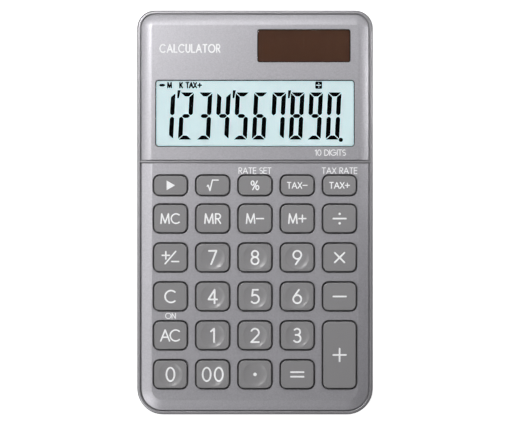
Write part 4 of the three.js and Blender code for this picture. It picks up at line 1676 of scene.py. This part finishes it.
@dataclass
class Display:
    """The display: pane, glass, face, digits, signs, film, frame and ribbon."""

    width: float = 4.04 * MM
    height: float = 14.0 * MM
    upright: float = 1.32 * MM
    level: float = 1.2 * MM
    seam: float = 0.13 * MM
    tip: float = 1.6
    corner: float = 0.17 * MM
    slant: float = 0.052
    pitch: float = 5.48 * MM
    right: float = 4.64 * MM
    base: float = 2.2 * MM
    ink: float = 0.012 * MM
    point_radius: float = 0.65 * MM
    pane_flange: float = 0.42 * MM
    pane_rise: float = 0.9 * MM
    pane_edge: float = 0.08 * MM
    # The ring of painted shade round each window opening: how far it reaches out and in, how far it sits
    # below the pane, and its thickness.
    painted_shade_outside: float = 0.6 * MM
    painted_shade_inside: float = 0.3 * MM
    painted_shade_drop: float = 0.04 * MM
    painted_shade_thickness: float = 0.03 * MM
    face_corner: float = 0.3 * MM
    sheet: float = 0.65 * MM
    sheet_gap: float = 0.03 * MM
    ledge: float = 2.2 * MM
    ground_edge: float = 0.06 * MM
    sign_row: float = 18.35 * MM
    sign_height: float = 1.95 * MM
    sign_stroke: float = 0.42 * MM

    def build(self) -> None:
        """Makes every piece of the display."""
        for node in WINDOW_RADII:
            self.pane(node)
        self.face()
        self.digits()
        self.signs()
        self.glass()
        dress("lcd_reflector", Finishes.DISPLAY_FACE)
        dress("lcd_frame", Finishes.WHITE)
        dress("lcd_ribbon", Finishes.RIBBON)

    def pane(self, node: str) -> None:
        """A clear pane with a polished edge and the flange behind its panel, and a dark ring of painted
        shade round its opening.

        Args:
            node: the pane's node.
        """
        low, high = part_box(node)
        bm = bmesh.new()
        opening = window_outline(node)
        flange = Slab(bm, opening.grown(WINDOW_FLANGE).face(bm, low.z))
        flange.rise(self.pane_flange)
        flange.step(self.pane_rise, 0)
        flange.rise(high.z - low.z - self.pane_flange - self.pane_edge)
        flange.roll(self.pane_edge, self.pane_edge, 2)
        piece(f"{node}_pane", bm, Finishes.PANE, replaces=(node,))
        # A thin dark ring under the pane's edge that shows through the opening: painted shade where the
        # opening's edge shades what lies below.
        ring = bmesh.new()
        opening.grown(self.painted_shade_outside).prism(ring, low.z - self.painted_shade_drop, self.painted_shade_thickness)
        middle = bmesh.new()
        opening.grown(-self.painted_shade_inside).prism(middle, low.z - MM, 2 * MM)
        piece(f"{node}_painted_shade", carve(ring, middle), Finishes.PAINTED_SHADE)

    def face(self) -> None:
        """The pale face that the digits stand out from."""
        low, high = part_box("lcd_polarizer")
        bm = bmesh.new()
        Outline.of("lcd_polarizer", self.face_corner, 3).prism(bm, low.z, high.z - low.z)
        piece("display_face", bm, Finishes.DISPLAY_FACE, replaces=("lcd_polarizer",))

    def glass(self) -> None:
        """The two sheets of display glass, with ground edges."""
        low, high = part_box("lcd_glass")
        split = low.z + self.sheet
        bm = bmesh.new()
        for bottom, top in (
            (low, Vector((high.x, high.y, split))),
            (Vector((low.x, low.y + self.ledge, split + self.sheet_gap)), high),
        ):
            ease(bm, edges_of(box_between(bm, bottom, top)), self.ground_edge, 1)
        piece("display_glass", bm, Finishes.CELL_GLASS, replaces=("lcd_glass",))

    def segment(self, letter: str) -> list[tuple[float, float]]:
        """The corners of one segment of a digit that stands upright at the origin.

        Args:
            letter: a to g, clockwise from the top, and g in the middle.

        Returns:
            The corners, in order.
        """
        wide, tall = self.width / 2, self.height / 2
        up, level, seam = self.upright, self.level, self.seam
        inner = wide - up
        if letter == "g":
            end, side = inner + up / 2 - seam, inner - seam
            right = [(end, 0), (side, level / 2)]
            return [*right, *((-x, y) for x, y in reversed(right)), (-side, -level / 2), (side, -level / 2)]
        if letter in "ad":
            outside, inside = (wide - seam, tall), (inner - seam, tall - level)
            shape = [outside, inside, (-inside[0], inside[1]), (-outside[0], tall)]
            return shape if letter == "a" else [(x, -y) for x, y in shape]
        shape = [
            (wide, tall - self.tip * seam),
            (wide, up / 2),
            (wide - up / 2, seam),
            (inner, level / 2 + seam),
            (inner, tall - level - self.tip * seam),
        ]
        across = 1 if letter in "bc" else -1
        upwards = 1 if letter in "bf" else -1
        return [(across * x, upwards * y) for x, y in shape]

    def _print(
        self, bm: BMesh, corners: list[tuple[float, float]], place: Vector, soft: float
    ) -> None:
        """Prints one flat shape on the display's face.

        Args:
            bm: the mesh it is printed in.
            corners: its corners, about its own middle.
            place: where its middle is.
            soft: the radius of its corners.
        """
        before = set(bm.faces)
        verts = []
        for x, y in corners:
            verts.append(bm.verts.new(place + Vector((x + y * self.slant, y, -self.ink / 2))))
        bm.faces.new(verts)
        round_corners(bm, verts, soft, 2)
        Slab(bm, next(face for face in bm.faces if face not in before)).rise(self.ink)

    def _origin(self) -> Vector:
        """The lower right corner of the opening in front of the display, on the display's face."""
        opening = window_outline("display_window")
        x = opening.centre[0] + opening.width / 2
        y = opening.centre[1] - opening.length / 2
        return Vector((x, y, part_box("lcd_polarizer")[1].z))

    def digits(self) -> None:
        """The ten digits, the marks between the thousands, and the decimal point."""
        bm = bmesh.new()
        corner = self._origin()
        middle = self.base + self.height / 2
        mark = [(0.5 * MM, 1.2 * MM), (0.12 * MM, -1.2 * MM), (-0.38 * MM, -1.2 * MM), (-0.4 * MM, 1.2 * MM)]
        offset = Vector((-self.width / 2 - 0.15 * MM, self.height / 2 - 0.55 * MM, 0))
        for i, digit in enumerate(reversed("1234567890")):
            x = -self.right - self.width / 2 - i * self.pitch + self.slant * self.height / 2
            place = corner + Vector((x, middle, 0))
            for letter in SEGMENTS[digit]:
                self._print(bm, self.segment(letter), place, self.corner)
            if i % 3 == 2:
                self._print(bm, mark, place + offset, 0.08 * MM)
        point = Matrix.Translation(corner + Vector((-4.13 * MM, self.base - 0.1 * MM, -self.ink / 2)))
        made = bmesh.ops.create_circle(
            bm, cap_ends=True, segments=32, radius=self.point_radius, matrix=point
        )
        Slab(bm, made["verts"][0].link_faces[0]).rise(self.ink)
        piece("display_digits", bm, Finishes.INK, smooth=20)

    def signs(self) -> None:
        """The small signs along the top of the display."""
        bm = bmesh.new()
        row = self._origin() + Vector((0, self.sign_row, 0))
        left = row.x - window_outline("display_window").width
        half = [(1.0 * MM, 0), (0.5 * MM, 0.4 * MM), (-0.5 * MM, 0.4 * MM)]
        lozenge = half + [(-x, -y) for x, y in half]
        self._print(bm, lozenge, Vector((left + 2.05 * MM, row.y, row.z)), 0.1 * MM)
        for text, x, squeeze in (("M", 4.25, 0.85), ("K", 7.7, 0.9), ("TAX", 10.7, 0.85), ("+", 13.2, 0.95)):
            line = Lettering(
                list(text),
                self.sign_height,
                self.sign_stroke,
                (left + x * MM, row.y),
                spacing=0.16,
                thickness=self.ink,
                squeeze=squeeze,
            )
            line.draw(bm, lambda x, y: row.z)
        key = (row.x - 10.7 * MM, row.y)
        square = Outline(2.05 * MM, 2.15 * MM, 0.35 * MM, key, segments=4)
        square.prism(bm, row.z - self.ink / 2, self.ink)
        piece("display_signs", bm, Finishes.INK, smooth=20)
        pale = bmesh.new()
        line = Lettering(["divide"], 1.75 * MM, 0.26 * MM, key, thickness=self.ink, squeeze=0.85)
        line.draw(pale, lambda x, y: row.z + self.ink)
        piece("display_divide_sign", pale, Finishes.DISPLAY_FACE, smooth=20)


# ---------------------------------------------------------------- power and electronics


@dataclass
class Power:
    """The solar cell, the button cell, its contacts and the leads."""

    strips: int = 4
    plate_edge: float = 0.1 * MM
    line_width: float = 0.12 * MM
    line_height: float = 0.02 * MM
    line_margin: float = 0.3 * MM
    can_edge: float = 0.3 * MM
    shoulder: float = 0.35 * MM
    cap: float = 4.6 * MM
    cap_edge: float = 0.15 * MM
    seal: tuple[float, float] = (0.25 * MM, 0.1 * MM)
    seal_slope: float = 0.05 * MM

    def build(self) -> None:
        """Makes every piece."""
        self.solar_cell()
        self.coin_cell()
        for name in nodes_named("battery_contact"):
            dress(name, Finishes.BRIGHT)
        for name in nodes_named("battery_lead") + nodes_named("solar_lead"):
            dress(name, Finishes.RED if name.endswith("positive") else Finishes.BLACK)

    def solar_cell(self) -> None:
        """A glass plate, and the faint lines that part its strips of silicon."""
        low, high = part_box("solar_cell")
        bm = bmesh.new()
        ease(bm, edges_of(box_between(bm, low, high)), self.plate_edge, 2)
        piece("solar_plate", bm, Finishes.SOLAR, replaces=("solar_cell",))
        lines = bmesh.new()
        half = Vector((self.line_width / 2, (high.y - low.y) / 2 - self.line_margin, self.line_height / 2))
        for i in range(1, self.strips):
            middle = Vector((low.x + (high.x - low.x) * i / self.strips, (low.y + high.y) / 2, high.z))
            box_between(lines, middle - half, middle + half)
        piece("solar_lines", lines, Finishes.SOLAR_LINE)

    def coin_cell(self) -> None:
        """The button cell: can, insulating ring and cap."""
        low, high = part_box("coin_cell")
        edge, cap, cap_edge = self.can_edge, self.cap, self.cap_edge
        inner = radius_of("coin_cell") - edge
        shoulder = high.z - self.shoulder
        seal, deep = self.seal
        profile = [(0, low.z)]
        profile += rounded_foot(radius_of("coin_cell"), low.z, edge, 4)
        profile += [(inner + edge * math.cos(a), shoulder - edge + edge * math.sin(a)) for a in quarter(4)]
        profile += [(cap + seal, shoulder), (cap + seal - self.seal_slope, shoulder - deep)]
        profile += [(cap, shoulder - deep), (cap, high.z - cap_edge), (cap - cap_edge, high.z), (0, high.z)]
        bm = bmesh.new()
        turned(bm, profile, middle_of("coin_cell"), 64)
        piece("button_cell", bm, Finishes.BRIGHT, replaces=("coin_cell",))


@dataclass
class Electronics:
    """The membrane with its domes, the circuit board and what is on it."""

    base: float = 2.9 * MM
    top: float = 1.9 * MM
    wall: float = 0.35 * MM
    sheet: float = 0.35 * MM
    sheet_edge: float = 0.08 * MM
    overlap: float = 0.1 * MM
    flattened: float = 0.4
    pad_size: tuple[float, float] = (1.5 * MM, 3.0 * MM)
    pad_offset: float = 0.95 * MM
    pad_heights: tuple[float, float] = (-0.005 * MM, 0.015 * MM)
    end_cap: float = 0.55 * MM
    end_step: float = 0.04 * MM
    end_edge: float = 0.06 * MM

    def build(self) -> None:
        """Makes every piece."""
        self.membrane()
        for name in Keypad.names():
            self.domes(name)
        self.pads()
        dress("circuit_board", Finishes.LAMINATE)
        self.chip()
        self.capacitor()

    def places(self, name: str) -> list[tuple[float, float]]:
        """Where the domes under a key are."""
        x, y = middle_of(name)
        reach = max((Keypad.cap_size(name)[1] - Keypad.cap_size("key_minus")[1]) / 2, 0)
        return [(x, y + offset) for offset in sorted({reach, -reach})]

    def membrane(self) -> None:
        """The silicone sheet round the domes."""
        bm = bmesh.new()
        sheet = Outline.of("key_membrane", MM, 5)
        body = Slab(bm, sheet.face(bm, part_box("key_membrane")[0].z))
        body.rise(self.sheet - self.sheet_edge)
        body.roll(self.sheet_edge, self.sheet_edge, 2)
        cutters = bmesh.new()
        for name in Keypad.names():
            for place in self.places(name):
                tube(cutters, (0, self.base - self.overlap), (0, 9 * MM), place)
        made = carve(bm, cutters)
        piece("membrane_sheet", made, Finishes.SILICONE, replaces=("key_membrane",))

    def domes(self, name: str) -> None:
        """The hollow domes under one key.

        Args:
            name: the key's name.
        """
        low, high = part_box("key_membrane")
        bm = bmesh.new()
        for place in self.places(name):
            turned(bm, self._dome_section(low.z, high.z), place, 32)
        made = piece(f"dome_{name}", bm, Finishes.SILICONE)
        anchor = (*self.places(name)[0], low.z)
        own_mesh(made)

    def _dome_section(self, low: float, high: float) -> list[tuple[float, float]]:
        """The dome's section: outside up to its flat top, and back down inside.

        Args:
            low: the height of its foot.
            high: the height of its top.

        Returns:
            The section, as radius and height.
        """
        base, top, wall = self.base, self.top, self.wall
        shoulder, ceiling = low + self.sheet, high - 2 * wall
        outside = [(base, low), (base, shoulder), (base - 0.25 * MM, shoulder + 0.05 * MM)]
        neck = [(top + 0.08 * MM, high - 0.25 * MM), (top, high - 0.08 * MM), (top - 0.1 * MM, high)]
        inside = [(0, high), (0, ceiling), (top - wall, ceiling), (base - wall - 0.2 * MM, shoulder)]
        return [*outside, *neck, *inside, (base - wall, low), (base, low)]

    def pads(self) -> None:
        """The pair of carbon pads that each dome closes."""
        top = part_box("circuit_board")[1].z
        half = Vector(self.pad_size).to_3d() / 2
        below, above = (UP * height for height in self.pad_heights)
        bm = bmesh.new()
        for name in Keypad.names():
            for x, y in self.places(name):
                for side in (-1, 1):
                    middle = Vector((x + side * self.pad_offset, y, top))
                    box_between(bm, middle - half + below, middle + half + above)
        piece("board_pads", bm, Finishes.CARBON)

    def chip(self) -> None:
        """The drop of resin over the chip."""
        low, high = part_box("chip_cover")
        radius = radius_of("chip_cover")
        deep = high.z - low.z
        dome = [(radius * math.sin(a), high.z - deep * math.cos(a)) for a in quarter(8)]
        bm = bmesh.new()
        turned(bm, [*dome, (0, high.z)], middle_of("chip_cover"), 40)
        piece("chip_resin", bm, Finishes.RESIN, replaces=("chip_cover",))

    def capacitor(self) -> None:
        """The chip capacitor: a ceramic body between two tinned ends."""
        low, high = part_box("smoothing_capacitor")
        body = bmesh.new()
        step = Vector((self.end_cap, 0, self.end_step))
        box_between(body, low + step, high - step)
        piece("capacitor_body", body, Finishes.CERAMIC, replaces=("smoothing_capacitor",))
        ends = bmesh.new()
        verts = box_between(ends, low, Vector((low.x + self.end_cap, high.y, high.z)))
        verts += box_between(ends, Vector((high.x - self.end_cap, low.y, low.z)), high)
        ease(ends, edges_of(verts), self.end_edge, 2)
        piece("capacitor_ends", ends, Finishes.BRIGHT)


# ---------------------------------------------------------------- table, light and camera


@dataclass(frozen=True)
class Lamp:
    """A soft, square light: its place, the length of its sides and its strength."""

    place: tuple[float, float, float]
    size: float
    watts: float


LAMPS: dict[str, Lamp] = {
    "upper_left": Lamp((-0.105, 0.10, 0.26), 0.05, 0.25),
    "left": Lamp((-0.15, 0.0, 0.25), 0.08, 0.06),
    "upper": Lamp((-0.01, 0.16, 0.25), 0.09, 0.1),
    "upper_right": Lamp((0.11, 0.13, 0.20), 0.05, 0.02),
    "lower_left": Lamp((-0.16, -0.16, 0.20), 0.12, 0.21),
    "lower": Lamp((0.0, -0.17, 0.24), 0.10, 0.02),
    "edge_right": Lamp((0.115, 0.045, 0.085), 0.03, 0.034),
    "low_top": Lamp((0.0, 0.24, 0.11), 0.09, 0.05),
}


@dataclass
class Studio:
    """A pale table, soft light from the upper left, and a camera straight above."""

    view_height: float = 126.2 * MM
    distance: float = 0.9
    aspect: float = 510 / 425
    sensor: float = 36.0
    table_half: float = 3.0
    surround: float = 0.11
    surround_colour: Colour = (0.95, 0.96, 1.0)
    dark_above: tuple[float, float] = (0.9, 0.97)

    def build(self) -> None:
        """Makes the table, the lights and the camera."""
        self.table()
        self.sky()
        for name, lamp in LAMPS.items():
            self.light(name, lamp)
        self.camera()
        view = bpy.context.scene.view_settings
        view.view_transform = "Standard"
        view.look = "None"

    def table(self) -> None:
        """A flat, pale table that the feet stand on."""
        bm = bmesh.new()
        bmesh.ops.create_grid(bm, x_segments=1, y_segments=1, size=self.table_half)
        mesh = bpy.data.meshes.new("table")
        bm.to_mesh(mesh)
        bm.free()
        mesh.materials.append(Finishes.TABLE.material())
        table = bpy.data.objects.new("table", mesh)
        bpy.context.scene.collection.objects.link(table)
        table.visible_glossy = False
        table.visible_diffuse = False

    def sky(self) -> None:
        """A dim, even surround that is dark straight above."""
        world = bpy.data.worlds.new("surround")
        world.use_nodes = True
        background = world.node_tree.nodes["Background"]
        background.inputs["Color"].default_value = (*self.surround_colour, 1)
        graph = Graph(world.node_tree)
        place = graph.node("TexCoord")
        split = graph.node("SeparateXYZ")
        graph.link(place.outputs["Generated"], split.inputs[0])
        start, end = self.dark_above
        shade = graph.node("MapRange", From_Min=start, From_Max=end, To_Min=self.surround, To_Max=0.0)
        graph.link(split.outputs["Z"], shade.inputs["Value"])
        graph.link(shade.outputs[0], background.inputs["Strength"])
        bpy.context.scene.world = world

    def light(self, name: str, lamp: Lamp) -> None:
        """Adds a light that faces the calculator.

        Args:
            name: its name.
            lamp: its place, size and strength.
        """
        data = bpy.data.lights.new(name, "AREA")
        data.shape = "SQUARE"
        data.size = lamp.size
        data.energy = lamp.watts
        made = bpy.data.objects.new(name, data)
        made.location = lamp.place
        made.rotation_euler = Vector(lamp.place).to_track_quat("Z", "Y").to_euler()
        bpy.context.scene.collection.objects.link(made)

    def camera(self) -> None:
        """A long lens, straight above the middle of the case."""
        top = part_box("front_case")[1].z
        data = bpy.data.cameras.new("camera")
        data.sensor_width = self.sensor
        data.lens = self.sensor * self.distance / (self.view_height * self.aspect)
        data.clip_start = 0.01
        camera = bpy.data.objects.new("camera", data)
        camera.location = (*middle_of("front_case"), self.distance + top)
        bpy.context.scene.collection.objects.link(camera)
        bpy.context.scene.camera = camera


def main() -> None:
    """Builds the calculator and its studio."""
    logging.basicConfig(level=logging.INFO, format="%(message)s")
    casing = Casing()
    for assembly in (casing, Fascias(casing), Keypad(), Display(), Power(), Electronics(), Studio()):
        assembly.build()
        log.info("%s done", type(assembly).__name__)


if __name__ == "__main__":
    main()
